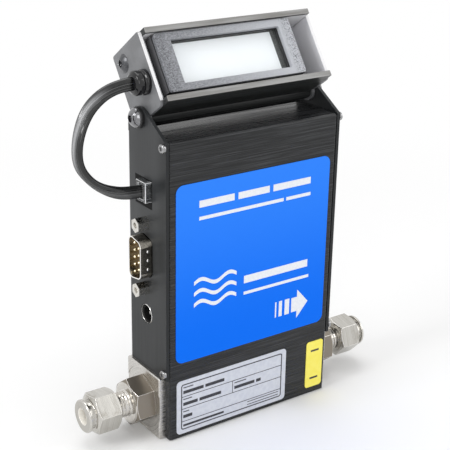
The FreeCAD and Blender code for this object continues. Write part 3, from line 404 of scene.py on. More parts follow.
def shell_dimples(name, side):
    """Three small domes on one long side of the shell."""
    mesh = bmesh.new()
    for i in (-1, 0, 1):
        made = bmesh.ops.create_uvsphere(mesh, u_segments=dimple_facets, v_segments=dimple_rings,
                                         radius=dimple_r)
        flatten = Matrix.Diagonal((1, dimple_rise / dimple_r, 1, 1))
        centre = (dimple_x, connector_y + side * shell_half_depth, connector_z + i * dimple_pitch)
        bmesh.ops.transform(mesh, matrix=Matrix.Translation(centre) @ flatten, verts=made["verts"])
    return shown(mesh, name, nickel_rim, "case")


# Painted highlight: the dimples take the near-white rim finish.
shell_dimples("shell_dimples_front", -1)
shell_dimples("shell_dimples_rear", 1)

# Power socket: a moulded socket with a centre pin, set a little back behind its round hole, and a
# thin nickelled sleeve round its mouth.
blackened_pin = finish("blackened_pin", (0.20, 0.20, 0.20), roughness=0.3, metallic=0.9)
tint(blackened_pin, marks(blackened_pin, 2000), (0.32, 0.31, 0.30))
socket_black = finish("socket_black", (0.005, 0.005, 0.005), roughness=0.6, shine=0.1)
raised(socket_black, marks(socket_black, 5000), height=0.000008)
dress(["power_jack"], socket_black, edge_width=0.0002)
dress(["power_jack_pin"], blackened_pin, edge_width=0.0001)
socket_y, socket_z = -0.0008, 0.0475
sleeve_outer, sleeve_inner, sleeve_front, sleeve_back = 0.00378, 0.00346, -0.03806, -0.0371
cone_deep, edge_flat, sleeve_facets = 0.00026, 0.00004, 64


def socket_sleeve(name):
    """Thin metal sleeve round the mouth of the power socket, its edge turned to a cone."""
    mesh = bmesh.new()
    section = [(sleeve_back, sleeve_outer), (sleeve_front + cone_deep, sleeve_outer),
               (sleeve_front, sleeve_inner + edge_flat), (sleeve_front + edge_flat, sleeve_inner),
               (sleeve_back, sleeve_inner)]
    rows = []
    for i in range(sleeve_facets):
        angle = 2 * math.pi * i / sleeve_facets
        rows.append([mesh.verts.new((px, socket_y + r * math.cos(angle), socket_z + r * math.sin(angle)))
                     for px, r in section])
    for i in range(sleeve_facets):
        a, b = rows[i], rows[(i + 1) % sleeve_facets]
        for j in range(len(a)):
            k = (j + 1) % len(a)
            mesh.faces.new((a[j], a[k], b[k], b[j]))
    bmesh.ops.recalc_face_normals(mesh, faces=mesh.faces[:])
    return shown(mesh, name, nickel_rim, "case", smooth=False)


socket_sleeve("power_socket_sleeve")

# Modular socket: a black moulded housing that fills its square opening in the side. It is soldered
# to the board, and its front stands level with the case.
dress(["modular_jack"], socket_black, edge_width=0.00015)

# Rear cover: a sheet of aluminium folded into the sides and back of the case, anodised black. It is
# painted darker low down and towards its front edge as painted shade, and its edges carry a thin painted
# highlight.
anodised_side = finish("anodised_side", (0.028, 0.030, 0.032), roughness=0.38, shine=0.25)
side_grain = marks(anodised_side, (2200, 1500, 40), 0.3, 0.7)
tint(anodised_side, side_grain, (0.041, 0.043, 0.045))
tint(anodised_side, marks(anodised_side, (70, 70, 45), 0.45, 0.75), (0.046, 0.048, 0.050))
y, z = parts_of(anodised_side, place_on(anodised_side))[1:]
shade_fades_above, full_shade_below = 0.085, 0.035
shade_fades_behind, full_shade_before = -0.007, -0.013
low_down = spread(anodised_side, z, shade_fades_above, full_shade_below)
near_front = spread(anodised_side, y, shade_fades_behind, full_shade_before)
painted_shade_low_and_front = reckon(anodised_side, "MAXIMUM", low_down, near_front)
# Painted shade: darker low down and near the front edge.
tint(anodised_side, together(anodised_side, painted_shade_low_and_front, 0.85), (0.012, 0.0135, 0.0145))
dull(anodised_side, side_grain, low=0.32, high=0.44)
raised(anodised_side, side_grain, height=0.000004)
# Painted highlight: a thin pale line along the covers' broken edges.
painted_edge_highlight = finish("painted_edge_highlight", (0.30, 0.30, 0.31), roughness=0.3, metallic=0.6)
tint(painted_edge_highlight, marks(painted_edge_highlight, 250, 0.45, 0.6), (0.12, 0.12, 0.125))
dress(["rear_cover"], anodised_side, edge_width=0.00012, edge_finish=painted_edge_highlight)

# Front cover: a second folded sheet that closes the case in front. It was brushed from side to side
# before it was anodised, and the strokes show through the black.
brushed_front = finish("brushed_front", (0.009, 0.0095, 0.0105), roughness=0.36, shine=0.3)
long_strokes = marks(brushed_front, (22, 1100, 2300), 0.40, 0.70, detail=6)
fine_strokes = marks(brushed_front, (70, 3000, 5200), 0.45, 0.75, detail=3)
tint(brushed_front, long_strokes, (0.020, 0.0215, 0.0225))
tint(brushed_front, fine_strokes, (0.052, 0.054, 0.058))
dull(brushed_front, long_strokes, low=0.26, high=0.46)
raised(brushed_front, fine_strokes, height=0.000006)
# Its edges carry the same painted highlight.
dress(["front_cover"], brushed_front, edge_width=0.00008, edge_finish=painted_edge_highlight)

# Cover and base screws: small socket-head screws of blackened steel that hold the covers to each
# other and to the flow body. Their heads are lighter in spots, and their rims carry a painted highlight.
blacked_screw = finish("blacked_screw", (0.30, 0.30, 0.305), roughness=0.22, metallic=0.9)
tint(blacked_screw, marks(blacked_screw, 2500, 0.5, 0.7), (0.48, 0.48, 0.48))
# Painted highlight on the screws' rims.
screw_rim_highlight = finish("screw_rim_highlight", (0.85, 0.85, 0.85), roughness=0.2, metallic=1.0)
dress(["cover_screws"], blacked_screw, edge_width=0.00016, edge_finish=screw_rim_highlight)
dress(["base_screws"], blacked_screw, edge_width=0.0001, edge_finish=screw_rim_highlight)

# Labels: printed films stuck to the front cover. The blue one carries white bars and the flow
# arrow, the silver one a ruled table, and the yellow one two short strokes. None has words.
label_front_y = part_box("front_label")[0].y
ink_depth = 0.00003
darker_below, lighter_above = 0.035, 0.104
blue_film = finish("blue_film", (0.0, 0.160, 0.92), roughness=0.5, shine=0.08)
z = parts_of(blue_film, place_on(blue_film))[2]
# Painted light: the blue film is painted lighter towards its top.
tint(blue_film, spread(blue_film, z, darker_below, lighter_above), (0.03, 0.235, 0.99))
silver_film = finish("silver_film", (0.60, 0.625, 0.70), roughness=0.34)
tint(silver_film, marks(silver_film, 600), (0.66, 0.685, 0.75))
yellow_film = finish("yellow_film", (0.98, 0.86, 0.11), roughness=0.42)
tint(yellow_film, marks(yellow_film, 400), (1.0, 0.89, 0.15))
for label, film in (("front_label", blue_film), ("spec_label", silver_film), ("caution_label", yellow_film)):
    raised(film, marks(film, 900), height=0.000004)
    dress([label], film, edge_width=0.00006)
white_ink = finish("white_ink", (0.86, 0.88, 0.92), roughness=0.45)
tint(white_ink, marks(white_ink, 1200), (0.80, 0.83, 0.89))
black_ink = finish("black_ink", (0.018, 0.018, 0.025), roughness=0.45)
tint(black_ink, marks(black_ink, 1200), (0.035, 0.035, 0.045))


def bar(x0, x1, z0, z1):
    """A flat bar, in millimetres."""
    return [(x0, z0), (x1, z0), (x1, z1), (x0, z1)]


def print_on(name, outlines, material, loops=()):
    """Ink a hair thick on a label: closed outlines, and loops given as an outer and an inner one."""
    mesh = bmesh.new()
    front, back = label_front_y - ink_depth, label_front_y + ink_depth
    for points in outlines:
        face = mesh.faces.new([mesh.verts.new((px / 1000, front, pz / 1000)) for px, pz in points])
        made = bmesh.ops.extrude_face_region(mesh, geom=[face])
        for vertex in made["geom"]:
            if isinstance(vertex, bmesh.types.BMVert):
                vertex.co.y = back
    for outer, inner in loops:
        rows = []
        for points, depth in ((outer, front), (inner, front), (inner, back), (outer, back)):
            rows.append([mesh.verts.new((px / 1000, depth, pz / 1000)) for px, pz in points])
        for a, b in zip(rows, rows[1:] + rows[:1]):
            for i in range(len(a)):
                j = (i + 1) % len(a)
                mesh.faces.new((a[i], a[j], b[j], b[i]))
    bmesh.ops.recalc_face_normals(mesh, faces=mesh.faces[:])
    return shown(mesh, name, material, "case", smooth=False)


def rounded(x0, x1, z0, z1, r, steps=5):
    """Outline of a rectangle with round corners, in millimetres."""
    points = []
    left, right, low, high = x0 + r, x1 - r, z0 + r, z1 - r
    for cx, cz, start in ((right, low, -90), (right, high, 0), (left, high, 90), (left, low, 180)):
        for i in range(steps + 1):
            angle = math.radians(start + 90 * i / steps)
            points.append((cx + r * math.cos(angle), cz + r * math.sin(angle)))
    return points


def wave(x0, x1, middle, swing, half, crests=1.5, count=40):
    """A wavy stripe along the flow."""
    low, high = [], []
    for i in range(count + 1):
        share = i / count
        centre = middle + swing * math.sin(2 * math.pi * crests * share)
        low.append((x0 + (x1 - x0) * share, centre - half))
        high.append((x0 + (x1 - x0) * share, centre + half))
    return low + high[::-1]


heading = [bar(-24.6, -9.6, 90.5, 93.1), bar(-7.9, 6.0, 90.5, 93.1), bar(7.7, 25.0, 90.5, 93.1)]
second_line = [bar(-24.6, 12.6, 85.8, 87.1), bar(13.8, 25.2, 85.8, 87.1)]
stripes = [wave(-26.6, -8.0, level_z, 1.2, 0.75) for level_z in (61.9, 57.6, 53.3)]
device_lines = [bar(-4.6, 25.2, 56.8, 59.8), bar(-4.6, 26.0, 52.2, 53.4)]
arrow_bars = [bar(10.4, 11.0, 38.8, 45.2), bar(12.2, 13.7, 38.8, 45.2), bar(15.0, 17.2, 38.8, 45.2)]
arrow = [(18.2, 39.0), (20.9, 39.0), (20.9, 36.0), (26.2, 42.0), (20.9, 48.0), (20.9, 45.0), (18.2, 45.0)]
print_on("front_label_print", heading + second_line + stripes + device_lines + arrow_bars + [arrow],
         white_ink)
table_left, table_right, table_low, table_high = -31.7, 14.5, 3.6, 22.2
table_rows = [17.2, 12.1, 6.8]
divider_x, rule = -8.7, 0.13
rules = [bar(table_left, table_right, height - rule, height + rule) for height in table_rows]
rules.append(bar(divider_x - rule, divider_x + rule, table_rows[1], table_rows[0]))
entries = [
    bar(-31.0, -26.6, 20.8, 21.2), bar(-31.0, -22.0, 18.4, 19.7), bar(-21.2, -12.6, 18.4, 19.7),
    bar(-31.0, -27.2, 15.9, 16.3), bar(-31.0, -24.6, 13.4, 14.7), bar(-23.8, -14.0, 13.4, 14.7),
    bar(-7.9, -2.4, 15.9, 16.3), bar(-7.9, 1.6, 13.4, 14.7), bar(2.4, 4.6, 13.4, 14.7),
    bar(-31.0, -28.4, 10.7, 11.1), bar(-31.0, -27.0, 8.2, 9.5),
    bar(-31.0, -12.6, 4.6, 5.5), bar(-1.6, 13.4, 5.7, 6.0), bar(-1.6, 13.4, 4.5, 4.8),
]
out, into = 0.25, 0.2
table_edge = (rounded(table_left - out, table_right + out, table_low - out, table_high + out, 1.0),
              rounded(table_left + into, table_right - into, table_low + into, table_high - into, 0.6))
print_on("spec_label_print", rules + entries, black_ink, [table_edge])
strokes = [bar(29.2, 33.2, 18.6, 19.4), bar(29.2, 33.2, 6.4, 7.2)]
print_on("caution_label_print", strokes, black_ink)

# Readout housing: an extruded aluminium channel with a round heel, closed by two end plates that
# are held by a screw each and by the hinge screws. Bead blasted and anodised a dark grey.
tilt = math.radians(35.5)
pivot = Vector((0, 0.0030, 0.1209))
readout_grey = finish("readout_grey", (0.135, 0.138, 0.145), roughness=0.42)
blasted = marks(readout_grey, 3500, 0.35, 0.65, detail=3)
tint(readout_grey, blasted, (0.170, 0.173, 0.180))
tint(readout_grey, marks(readout_grey, 120, 0.4, 0.7), (0.190, 0.193, 0.202))
dull(readout_grey, blasted, low=0.34, high=0.5)
raised(readout_grey, blasted, height=0.000008)
plate_front, plate_inner_x, foot_of_light = 0.0143, 0.0353, 0.0005
dark_below, highlight_above = 0.0002, 0.0008


def upright(material):
    """Place on the readout as it was drawn, upright about its hinge: X, depth to the rear, height."""
    back = pivot.y * math.cos(tilt) - pivot.z * math.sin(tilt)
    rise = pivot.y * math.sin(tilt) + pivot.z * math.cos(tilt)
    return parts_of(material, place_on(material, turn=tilt, shift=(0, -back, -rise)))


x, depth, height = upright(readout_grey)
forward = reckon(readout_grey, "MULTIPLY", depth, -1)
# Painted highlight: a near-white line along the end plates' front edges.
front_edge_highlight = spread(readout_grey, forward, plate_front - 2 * hair, plate_front - hair)
tint(readout_grey, front_edge_highlight, (0.85, 0.85, 0.86))
# Painted light: the end plates' inner faces inside the channel are painted near white.
inner_face = plate_inner_x + hair / 2
on_inside = reckon(readout_grey, "LESS_THAN", reckon(readout_grey, "ABSOLUTE", x), inner_face)
painted_light_inside = together(readout_grey, on_inside, spread(readout_grey, height, 0.0, foot_of_light))
tint(readout_grey, painted_light_inside, (0.90, 0.90, 0.94))
# Painted highlight on the end plates' broken edges, with painted shade on those edges low down.
plate_edge_highlight = finish("plate_edge_highlight", (0.86, 0.86, 0.87), roughness=0.32, metallic=0.9)
tint(plate_edge_highlight, marks(plate_edge_highlight, 300, 0.55, 0.75), (0.55, 0.55, 0.56))
height = upright(plate_edge_highlight)[2]
tint(plate_edge_highlight, spread(plate_edge_highlight, height, highlight_above, dark_below), (0.03, 0.03, 0.032))
dress(["readout_left_plate", "readout_right_plate"], readout_grey, edge_width=0.00018, edge_finish=plate_edge_highlight)

# Channel between the end plates: extruded aluminium with die lines along it, anodised nearly black.
# Its front lip is painted light grey with streaks as a painted highlight, and the inside of the channel
# round the display is painted pale as painted light.
channel_grey = finish("channel_grey", (0.016, 0.017, 0.017), roughness=0.38, shine=0.35)
die_lines = marks(channel_grey, (12, 1800, 1800), 0.4, 0.65)
tint(channel_grey, die_lines, (0.030, 0.032, 0.032))
dull(channel_grey, die_lines, low=0.3, high=0.46)
raised(channel_grey, die_lines, height=0.000006)
lip_front, wall_rear, wall_front = 0.0171, 0.00496, -0.0160
pocket_low, pocket_high = 0.003, 0.02356
depth, height = upright(channel_grey)[1:]
forward = reckon(channel_grey, "MULTIPLY", depth, -1)
# Painted highlight on the front lip.
lip_highlight = spread(channel_grey, forward, lip_front - 3 * hair, lip_front - 2 * hair)
lip_streaks = marks(channel_grey, (40, 900, 900), 0.3, 0.7)
tint(channel_grey, lip_highlight, (0.34, 0.34, 0.335))
tint(channel_grey, together(channel_grey, lip_highlight, lip_streaks), (0.20, 0.195, 0.185))
# Painted light inside the channel round the display.
pocket_painted_light = together(channel_grey,
                     reckon(channel_grey, "LESS_THAN", depth, wall_rear),
                     reckon(channel_grey, "GREATER_THAN", depth, wall_front),
                     reckon(channel_grey, "GREATER_THAN", height, pocket_low),
                     reckon(channel_grey, "LESS_THAN", height, pocket_high))
tint(channel_grey, pocket_painted_light, (0.70, 0.70, 0.72))
dress(["readout_channel"], channel_grey, edge_width=0.0003, segments=3)

# Readout screws: polished button heads on a black rubber washer at the hinge, painted dark as a
# painted reflection, and a satin head that holds each end plate to the channel's upper port. The rims of
# both carry a painted highlight.
button_head = finish("button_head", (0.24, 0.24, 0.25), roughness=0.12, metallic=1.0)
tint(button_head, marks(button_head, 900, 0.5, 0.7), (0.14, 0.14, 0.145))
dull(button_head, marks(button_head, 2000), low=0.08, high=0.22)
dress(["pivot_screws"], button_head, edge_width=0.00022, edge_finish=polished_screw)
satin_head = finish("satin_head", (0.085, 0.088, 0.095), roughness=0.3, metallic=0.7)
tint(satin_head, marks(satin_head, 1500, 0.45, 0.7), (0.13, 0.13, 0.135))
head_rim = finish("head_rim", (0.72, 0.72, 0.73), roughness=0.2, metallic=0.9)
tint(head_rim, marks(head_rim, 900, 0.5, 0.7), (0.45, 0.45, 0.46))
dress(["plate_screws"], satin_head, edge_width=0.00026, edge_finish=head_rim)
washer_black = finish("washer_black", (0.02, 0.02, 0.021), roughness=0.4)
raised(washer_black, marks(washer_black, 3000), height=0.000008)
dress(["pivot_washers"], washer_black, edge_width=0.0001)

# Bezel and module frame: a moulded bezel with a leathery skin, painted lighter from left to right as
# painted light and darker in patches near its sides, and behind it the display's black frame and board,
# which stand on four posts in the channel. The bezel's and board's edges and the frame's left end carry a
# painted highlight.
bezel_skin = finish("bezel_skin", (0.155, 0.16, 0.175), roughness=0.42)
dark_left, pale_right = -0.030, 0.026
window_middle, border_starts, border_full = -0.0034, 0.0235, 0.0262
x = upright(bezel_skin)[0]
# Painted light: the skin is lighter from left to right.
tint(bezel_skin, spread(bezel_skin, x, dark_left, pale_right), (0.46, 0.475, 0.51))
leather = marks(bezel_skin, (1300, 3200, 3200), 0.36, 0.64, detail=5)
tint(bezel_skin, together(bezel_skin, leather, 0.4), (0.52, 0.535, 0.57))
patches = marks(bezel_skin, 2300, 0.47, 0.62, detail=8)
from_middle = reckon(bezel_skin, "ABSOLUTE", reckon(bezel_skin, "SUBTRACT", x, window_middle))
near_sides = spread(bezel_skin, from_middle, border_starts, border_full)
tint(bezel_skin, together(bezel_skin, patches, near_sides, 0.8), (0.05, 0.052, 0.06))
dull(bezel_skin, leather, low=0.34, high=0.55)
raised(bezel_skin, leather, height=0.00002)
bezel_edge = finish("bezel_edge", (0.55, 0.56, 0.58), roughness=0.35)
tint(bezel_edge, marks(bezel_edge, 900), (0.45, 0.46, 0.48))
dress(["readout_bezel"], bezel_skin, edge_width=0.00012, edge_finish=bezel_edge)
module_black = finish("module_black", (0.015, 0.015, 0.016), roughness=0.4)
raised(module_black, marks(module_black, 5000), height=0.000008)
# Painted highlight: the frame's left end is lighter.
leftward = reckon(module_black, "MULTIPLY", upright(module_black)[0], -1)
left_end = 0.0325
tint(module_black, spread(module_black, leftward, left_end, left_end + 2 * hair), (0.10, 0.10, 0.105))
dress(["lcd_frame"], module_black, edge_width=0.00014)
dress(["readout_standoffs"], polished_screw)
black_mask = finish("black_mask", (0.012, 0.013, 0.013), roughness=0.35)
tint(black_mask, marks(black_mask, (300, 1400, 1400), 0.49, 0.51, detail=1), (0.02, 0.022, 0.022))
dress(["readout_board"], black_mask, edge_width=0.00012, edge_finish=bezel_edge)

# Light panel and pane: a diffuse panel that shows a plain pale field, black beyond its right and
# upper edges, behind a clear pane of glass that lies in the frame.
pale_field = finish("pale_field", (0.80, 0.835, 0.86), roughness=0.5)
field_right, field_top, glow = 0.0177, 0.01995, 0.15
tint(pale_field, marks(pale_field, 40), (0.83, 0.86, 0.88))
place = upright(pale_field)
right_of_field = spread(pale_field, place[0], field_right - hair / 2, field_right + hair / 2)
above_field = spread(pale_field, place[2], field_top - hair / 2, field_top + hair / 2)
round_field = reckon(pale_field, "MAXIMUM", right_of_field, above_field)
tint(pale_field, round_field, (0.012, 0.014, 0.014))
field_shader = pale_field.node_tree.nodes["Principled BSDF"]
field_shader.inputs["Emission Color"].default_value = (0.93, 0.97, 1.0, 1)
pale_field.node_tree.links.new(reckon(pale_field, "MULTIPLY_ADD", round_field, -glow, glow),
                               field_shader.inputs["Emission Strength"])
dress(["backlight"], pale_field)
cell_glass = finish("cell_glass", (0.92, 0.95, 0.95), roughness=0.06, shine=0.25)
glass_shader = cell_glass.node_tree.nodes["Principled BSDF"]
glass_shader.inputs["Alpha"].default_value = 0.06
dull(cell_glass, marks(cell_glass, 200), low=0.04, high=0.09)
pane_left, pane_right, pane_low, pane_high = -0.0281, 0.0220, 0.0024, 0.0223
pane_front, pane_back = 0.01395, 0.01305


def block(mesh, low, high):
    """A rectangular block; its first face is the one at low X."""
    corners = []
    for x in (low.x, high.x):
        for y in (low.y, high.y):
            corners += [mesh.verts.new((x, y, z)) for z in (low.z, high.z)]
    for face in ((0, 1, 3, 2), (4, 6, 7, 5), (0, 4, 5, 1), (2, 3, 7, 6), (0, 2, 6, 4), (1, 5, 7, 3)):
        mesh.faces.new([corners[i] for i in face])


def lean_back(mesh):
    """Takes what was drawn upright about the hinge to its place on the case."""
    leaning = Matrix.Translation(pivot) @ Matrix.Rotation(-tilt, 4, "X")
    bmesh.ops.transform(mesh, matrix=leaning, verts=mesh.verts)


pane = bmesh.new()
block(pane, Vector((pane_left, -pane_front, pane_low)), Vector((pane_right, -pane_back, pane_high)))
lean_back(pane)
bmesh.ops.recalc_face_normals(pane, faces=pane.faces[:])
cell_pane = shown(pane, "cell_pane", cell_glass, "display", smooth=False)
wear(cell_pane, width=0.0001)
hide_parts("lcd_glass")

# Strain relief: a ringed rubber bushing that is moulded round the cord and snapped into the left
# end plate. It is glossy black, with a painted highlight on the rims of its rings.
bushing_rubber = finish("bushing_rubber", (0.006, 0.006, 0.007), roughness=0.12)
raised(bushing_rubber, marks(bushing_rubber, 900), height=0.00001)
dull(bushing_rubber, marks(bushing_rubber, 1500), low=0.06, high=0.14)
bushing_rim_highlight = finish("bushing_rim_highlight", (0.50, 0.50, 0.51), roughness=0.15)
tint(bushing_rim_highlight, marks(bushing_rim_highlight, 400, 0.45, 0.6), (0.05, 0.05, 0.052))
dress(["cord_bushing"], bushing_rubber, edge_width=0.00012, edge_finish=bushing_rim_highlight)

# Plug: a clear moulded modular plug with a pocket for the flat cord and a latch on its rear side.
# It is pushed home in its socket, so only its end stands out of the case.
plug_low, plug_high = Vector((-0.0405, -0.00475, 0.0920)), Vector((-0.0271, 0.00175, 0.0994))
pocket_half_y, pocket_half_z, pocket_deep = 0.0016, 0.0028, 0.0075
latch_low, latch_high = Vector((-0.0405, 0.00175, 0.0942)), Vector((-0.0310, 0.00285, 0.0972))
latch_slot, latch_root, latch_nose, wall_inset = 0.00035, 0.0012, 0.0015, 0.0005
# Painted shade: the clear plastic is tinted grey for the dark socket seen through it.
clear_mould = finish("clear_mould", (0.50, 0.52, 0.53), roughness=0.1)
clear_shader = clear_mould.node_tree.nodes["Principled BSDF"]
clear_shader.inputs["Transmission Weight"].default_value = 0.9
clear_shader.inputs["IOR"].default_value = 1.5
raised(clear_mould, marks(clear_mould, 700), height=0.00003)
# Painted highlight: the plug's broken edges are near white.
plug_edge_highlight = finish("plug_edge_highlight", (0.90, 0.91, 0.92), roughness=0.3)
tint(plug_edge_highlight, marks(plug_edge_highlight, 900), (0.72, 0.73, 0.75))


def clear_plug():
    """Plug body with the cord's pocket in its outer end, and the latch bar joined at both ends."""
    mesh = bmesh.new()
    block(mesh, plug_low, plug_high)
    mesh.faces.ensure_lookup_table()
    outer_end = mesh.faces[0]
    middle_y, middle_z = (plug_low.y + plug_high.y) / 2, (plug_low.z + plug_high.z) / 2
    bmesh.ops.inset_individual(mesh, faces=[outer_end], thickness=wall_inset)
    for vertex in outer_end.verts:
        vertex.co.y = middle_y + math.copysign(pocket_half_y, vertex.co.y - middle_y)
        vertex.co.z = middle_z + math.copysign(pocket_half_z, vertex.co.z - middle_z)
    made = bmesh.ops.extrude_face_region(mesh, geom=[outer_end])
    bmesh.ops.delete(mesh, geom=[outer_end], context="FACES_ONLY")
    for vertex in made["geom"]:
        if isinstance(vertex, bmesh.types.BMVert):
            vertex.co.x += pocket_deep
    rear = plug_high.y
    block(mesh, Vector((latch_low.x + latch_nose, rear + latch_slot, latch_low.z)), latch_high)
    block(mesh, Vector((latch_high.x - latch_root, rear - hair, latch_low.z)),
          Vector((latch_high.x, rear + latch_slot + hair, latch_high.z)))
    bmesh.ops.recalc_face_normals(mesh, faces=mesh.faces[:])
    piece = shown(mesh, "clear_plug", clear_mould, "case", smooth=False)
    wear(piece, width=0.00022, edge_finish=plug_edge_highlight, segments=3)
    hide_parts("modular_plug")


clear_plug()

# Flat cord from the strain relief round to the plug: grey-black PVC over four flat conductors,
# wide side to the front at both ends and outwards round the loop.
cord_width, cord_thickness, cord_length = 0.0048, 0.0023, 0.0660
cord_route = [
    (-0.0420, 0.0013, 0.1335),
    (-0.0466, 0.0013, 0.1335),
    (-0.0540, 0.0011, 0.1311),
    (-0.0602, 0.0006, 0.1258),
    (-0.0639, -0.0001, 0.1169),
    (-0.0641, -0.0005, 0.1087),
    (-0.0599, -0.0009, 0.1026),
    (-0.0542, -0.0013, 0.0985),
    (-0.0466, -0.0015, 0.0957),
    (-0.0405, -0.0015, 0.0957),
]
route = bpy.data.curves.new("cord_route", "CURVE")
route.dimensions = "3D"
spline = route.splines.new("NURBS")
spline.points.add(len(cord_route) - 1)
for point, place in zip(spline.points, cord_route):
    point.co = (*place, 1)
spline.order_u = 3
spline.use_endpoint_u = True
spline.resolution_u = 12
route_object = bpy.data.objects.new("cord_route", route)
bpy.context.scene.collection.objects.link(route_object)
bpy.context.view_layer.update()
line_mesh = bpy.data.meshes.new_from_object(route_object)
cord_line = [vertex.co.copy() for vertex in line_mesh.vertices]
bpy.data.objects.remove(route_object)
cord_pvc = finish("cord_pvc", (0.010, 0.0105, 0.0105), roughness=0.13)
tint(cord_pvc, marks(cord_pvc, 300), (0.016, 0.0165, 0.0165))
dull(cord_pvc, marks(cord_pvc, 500), low=0.10, high=0.17)
# Painted highlight: pale lines along the cord's front face, strongest round the loop.
painted_cord_highlight = cord_pvc.node_tree.nodes.new("ShaderNodeAttribute")
painted_cord_highlight.attribute_name = "painted_cord_highlight"
tint(cord_pvc, painted_cord_highlight.outputs["Fac"], (0.46, 0.465, 0.475))
ripple, conductors = 0.00020, 4
most_turn, turning_out, turning_back = 80, (0.05, 0.50), (0.66, 0.96)
highlight_rising, highlight_falling, highlight_left_over = (0.10, 0.30), (0.45, 0.68), 0.8
wide_highlight_centre, wide_highlight_half, wide_highlight_strength = 0.0007, 0.0009, 0.80
fine_highlights, fine_highlight_half, fine_highlight_strength = (-0.0014, -0.0006, 0.0004), 0.00012, 0.20


def cord_section():
    """Flat oval with a shallow valley between the conductors: places across and through the cord."""
    straight, r = (cord_width - cord_thickness) / 2, cord_thickness / 2
    across_steps, end_steps = 24, 8
    points = []
    for side in (1, -1):
        for i in range(across_steps + 1):
            w = side * (straight - 2 * straight * i / across_steps)
            valley = ripple * (1 - math.cos(2 * math.pi * conductors * i / across_steps)) / 2
            points.append((w, side * (r - ripple + valley)))
        for i in range(1, end_steps):
            angle = math.radians(90 * side + 180 * i / end_steps)
            points.append((-side * straight + r * math.cos(angle), r * math.sin(angle)))
    return points


def cord_frames():
    """Place, wide direction and face direction along the cord."""
    lengths = [0.0]
    for a, b in zip(cord_line, cord_line[1:]):
        lengths.append(lengths[-1] + (b - a).length)
    frames = []
    for i, here in enumerate(cord_line):
        along = (cord_line[min(i + 1, len(cord_line) - 1)] - cord_line[max(i - 1, 0)]).normalized()
        share = lengths[i] / lengths[-1]
        turned = smooth_step(share, *turning_out) - smooth_step(share, *turning_back)
        angle = math.radians(most_turn) * turned
        front = Vector((0, -1, 0))
        front = (front - along * front.dot(along)).normalized()
        outward = along.cross(front)
        face = front * math.cos(angle) + outward * math.sin(angle)
        frames.append((here, along.cross(face).normalized(), face))
    return frames


def smooth_step(value, low, high):
    """Runs softly from 0 at low to 1 at high."""
    share = min(1.0, max(0.0, (value - low) / (high - low)))
    return share * share * (3 - 2 * share)


def painted_highlight_line(w, f, highlight_share):
    """How strongly the painted highlights along the cord's front face show here: fine lines, and a
    wide one where the loop stands out."""
    if f < 0:
        return 0.0
    wide_highlight = highlight_share * wide_highlight_strength * math.exp(-((w - wide_highlight_centre) / wide_highlight_half) ** 2)
    fine = sum(fine_highlight_strength * math.exp(-((w - line) / fine_highlight_half) ** 2) for line in fine_highlights)
    return min(1.0, wide_highlight + fine)


def flat_tube(name, frames):
    """Sweeps the cord's section along the frames and closes both ends."""
    mesh = bmesh.new()
    line_layer = mesh.verts.layers.float.new("painted_cord_highlight")
    rows = []
    for i, (here, wide, face) in enumerate(frames):
        share = i / (len(frames) - 1)
        highlight_share = smooth_step(share, *highlight_rising) - highlight_left_over * smooth_step(share, *highlight_falling)
        row = []
        for w, f in cord_section():
            vertex = mesh.verts.new(here + wide * w + face * f)
            vertex[line_layer] = painted_highlight_line(w, f, highlight_share)
            row.append(vertex)
        rows.append(row)
    for a, b in zip(rows, rows[1:]):
        for i in range(len(a)):
            j = (i + 1) % len(a)
            mesh.faces.new((a[i], a[j], b[j], b[i]))
    mesh.faces.new(rows[0])
    mesh.faces.new(rows[-1][::-1])
    bmesh.ops.recalc_face_normals(mesh, faces=mesh.faces[:])
    return mesh


cord = shown(flat_tube("display_lead", cord_frames()), "display_lead", cord_pvc, None)
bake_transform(cord)
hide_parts("display_cord")
last_place, last_wide, last_face = cord_frames()[-1]
places_in_plug = (0.0, 0.0030, 0.0065)
in_plug = [(last_place + Vector((x, 0, 0)), last_wide, last_face) for x in places_in_plug]
shown(flat_tube("lead_end_in_plug", in_plug), "lead_end_in_plug", cord_pvc, "case")

# Studio floor: plain white, with the object's soft shadow near it. Further off it fades into the
# white of the surround.
studio_white = finish("studio_white", (0.93, 0.93, 0.93), roughness=0.9)
raised(studio_white, marks(studio_white, 30), height=0.00002)
studio = studio_white.node_tree
fade_start, fade_end, floor_half, floor_drop = 0.10, 0.42, 6.0, 0.0001
floor_x, floor_y = parts_of(studio_white, place_on(studio_white))[:2]
out_x = reckon(studio_white, "MULTIPLY", floor_x, floor_x)
out_y = reckon(studio_white, "MULTIPLY", floor_y, floor_y)
from_object = reckon(studio_white, "SQRT", reckon(studio_white, "ADD", out_x, out_y))
away = spread(studio_white, from_object, fade_start, fade_end)
floor_rays = studio.nodes.new("ShaderNodeLightPath")
looked_at = reckon(studio_white, "MAXIMUM", floor_rays.outputs["Is Camera Ray"],
                   reckon(studio_white, "MAXIMUM", floor_rays.outputs["Is Glossy Ray"],
                          floor_rays.outputs["Is Transmission Ray"]))
white_out = studio.nodes.new("ShaderNodeEmission")
white_out.inputs["Strength"].default_value = 1.0
floor_mix = studio.nodes.new("ShaderNodeMixShader")
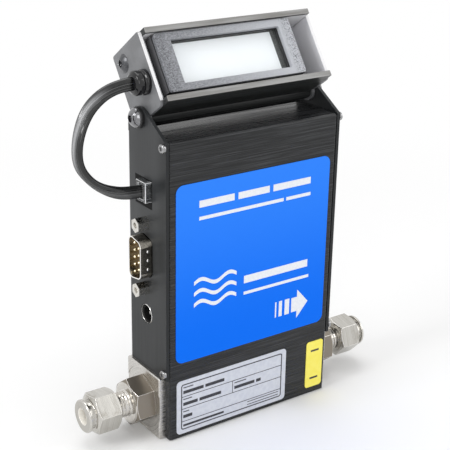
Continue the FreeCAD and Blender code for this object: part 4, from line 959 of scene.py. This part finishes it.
studio.links.new(reckon(studio_white, "MULTIPLY", away, looked_at), floor_mix.inputs[0])
studio.links.new(studio.nodes["Principled BSDF"].outputs[0], floor_mix.inputs[1])
studio.links.new(white_out.outputs[0], floor_mix.inputs[2])
studio.links.new(floor_mix.outputs[0], studio.nodes["Material Output"].inputs["Surface"])
floor_mesh = bmesh.new()
bmesh.ops.create_grid(floor_mesh, x_segments=1, y_segments=1, size=floor_half)
floor_data = bpy.data.meshes.new("studio_floor")
floor_mesh.to_mesh(floor_data)
floor_mesh.free()
floor_data.materials.append(studio_white)
floor = bpy.data.objects.new("studio_floor", floor_data)
floor.location.z = -floor_drop
bpy.context.scene.collection.objects.link(floor)

# Surround and lamps: white to the camera, in reflections and through glass, and a softer grey for
# the light it gives. Four square lamps are turned to the middle of the object.
mirrored_level, light_level = 1.0, 0.62
object_middle = Vector((0, 0, 0.07))
surround = bpy.data.worlds.new("studio_surround")
bpy.context.scene.world = surround
surround.use_nodes = True
sky = surround.node_tree
rays = sky.nodes.new("ShaderNodeLightPath").outputs
lighting = reckon(surround, "MULTIPLY_ADD", rays["Is Glossy Ray"], mirrored_level - light_level, light_level)
clear_view = reckon(surround, "MAXIMUM", rays["Is Camera Ray"], rays["Is Transmission Ray"])
sky.links.new(reckon(surround, "MAXIMUM", clear_view, lighting), sky.nodes["Background"].inputs["Color"])


def soft_lamp(name, place, size, power):
    """A square lamp that looks at the middle of the object."""
    lamp = bpy.data.lights.new(name, "AREA")
    lamp.size = size
    lamp.energy = power
    holder = bpy.data.objects.new(name, lamp)
    holder.location = place
    aim = object_middle - Vector(place)
    holder.rotation_euler = aim.to_track_quat("-Z", "Y").to_euler()
    bpy.context.scene.collection.objects.link(holder)


soft_lamp("lamp_left", (-0.65, 0.00, 0.52), size=0.26, power=1.8)
soft_lamp("lamp_front", (-0.46, -0.60, 0.40), size=0.4, power=1.1)
soft_lamp("lamp_right", (0.60, -0.45, 0.45), size=0.5, power=1.1)
soft_lamp("lamp_top", (0.05, 0.20, 0.85), size=0.6, power=2.2)
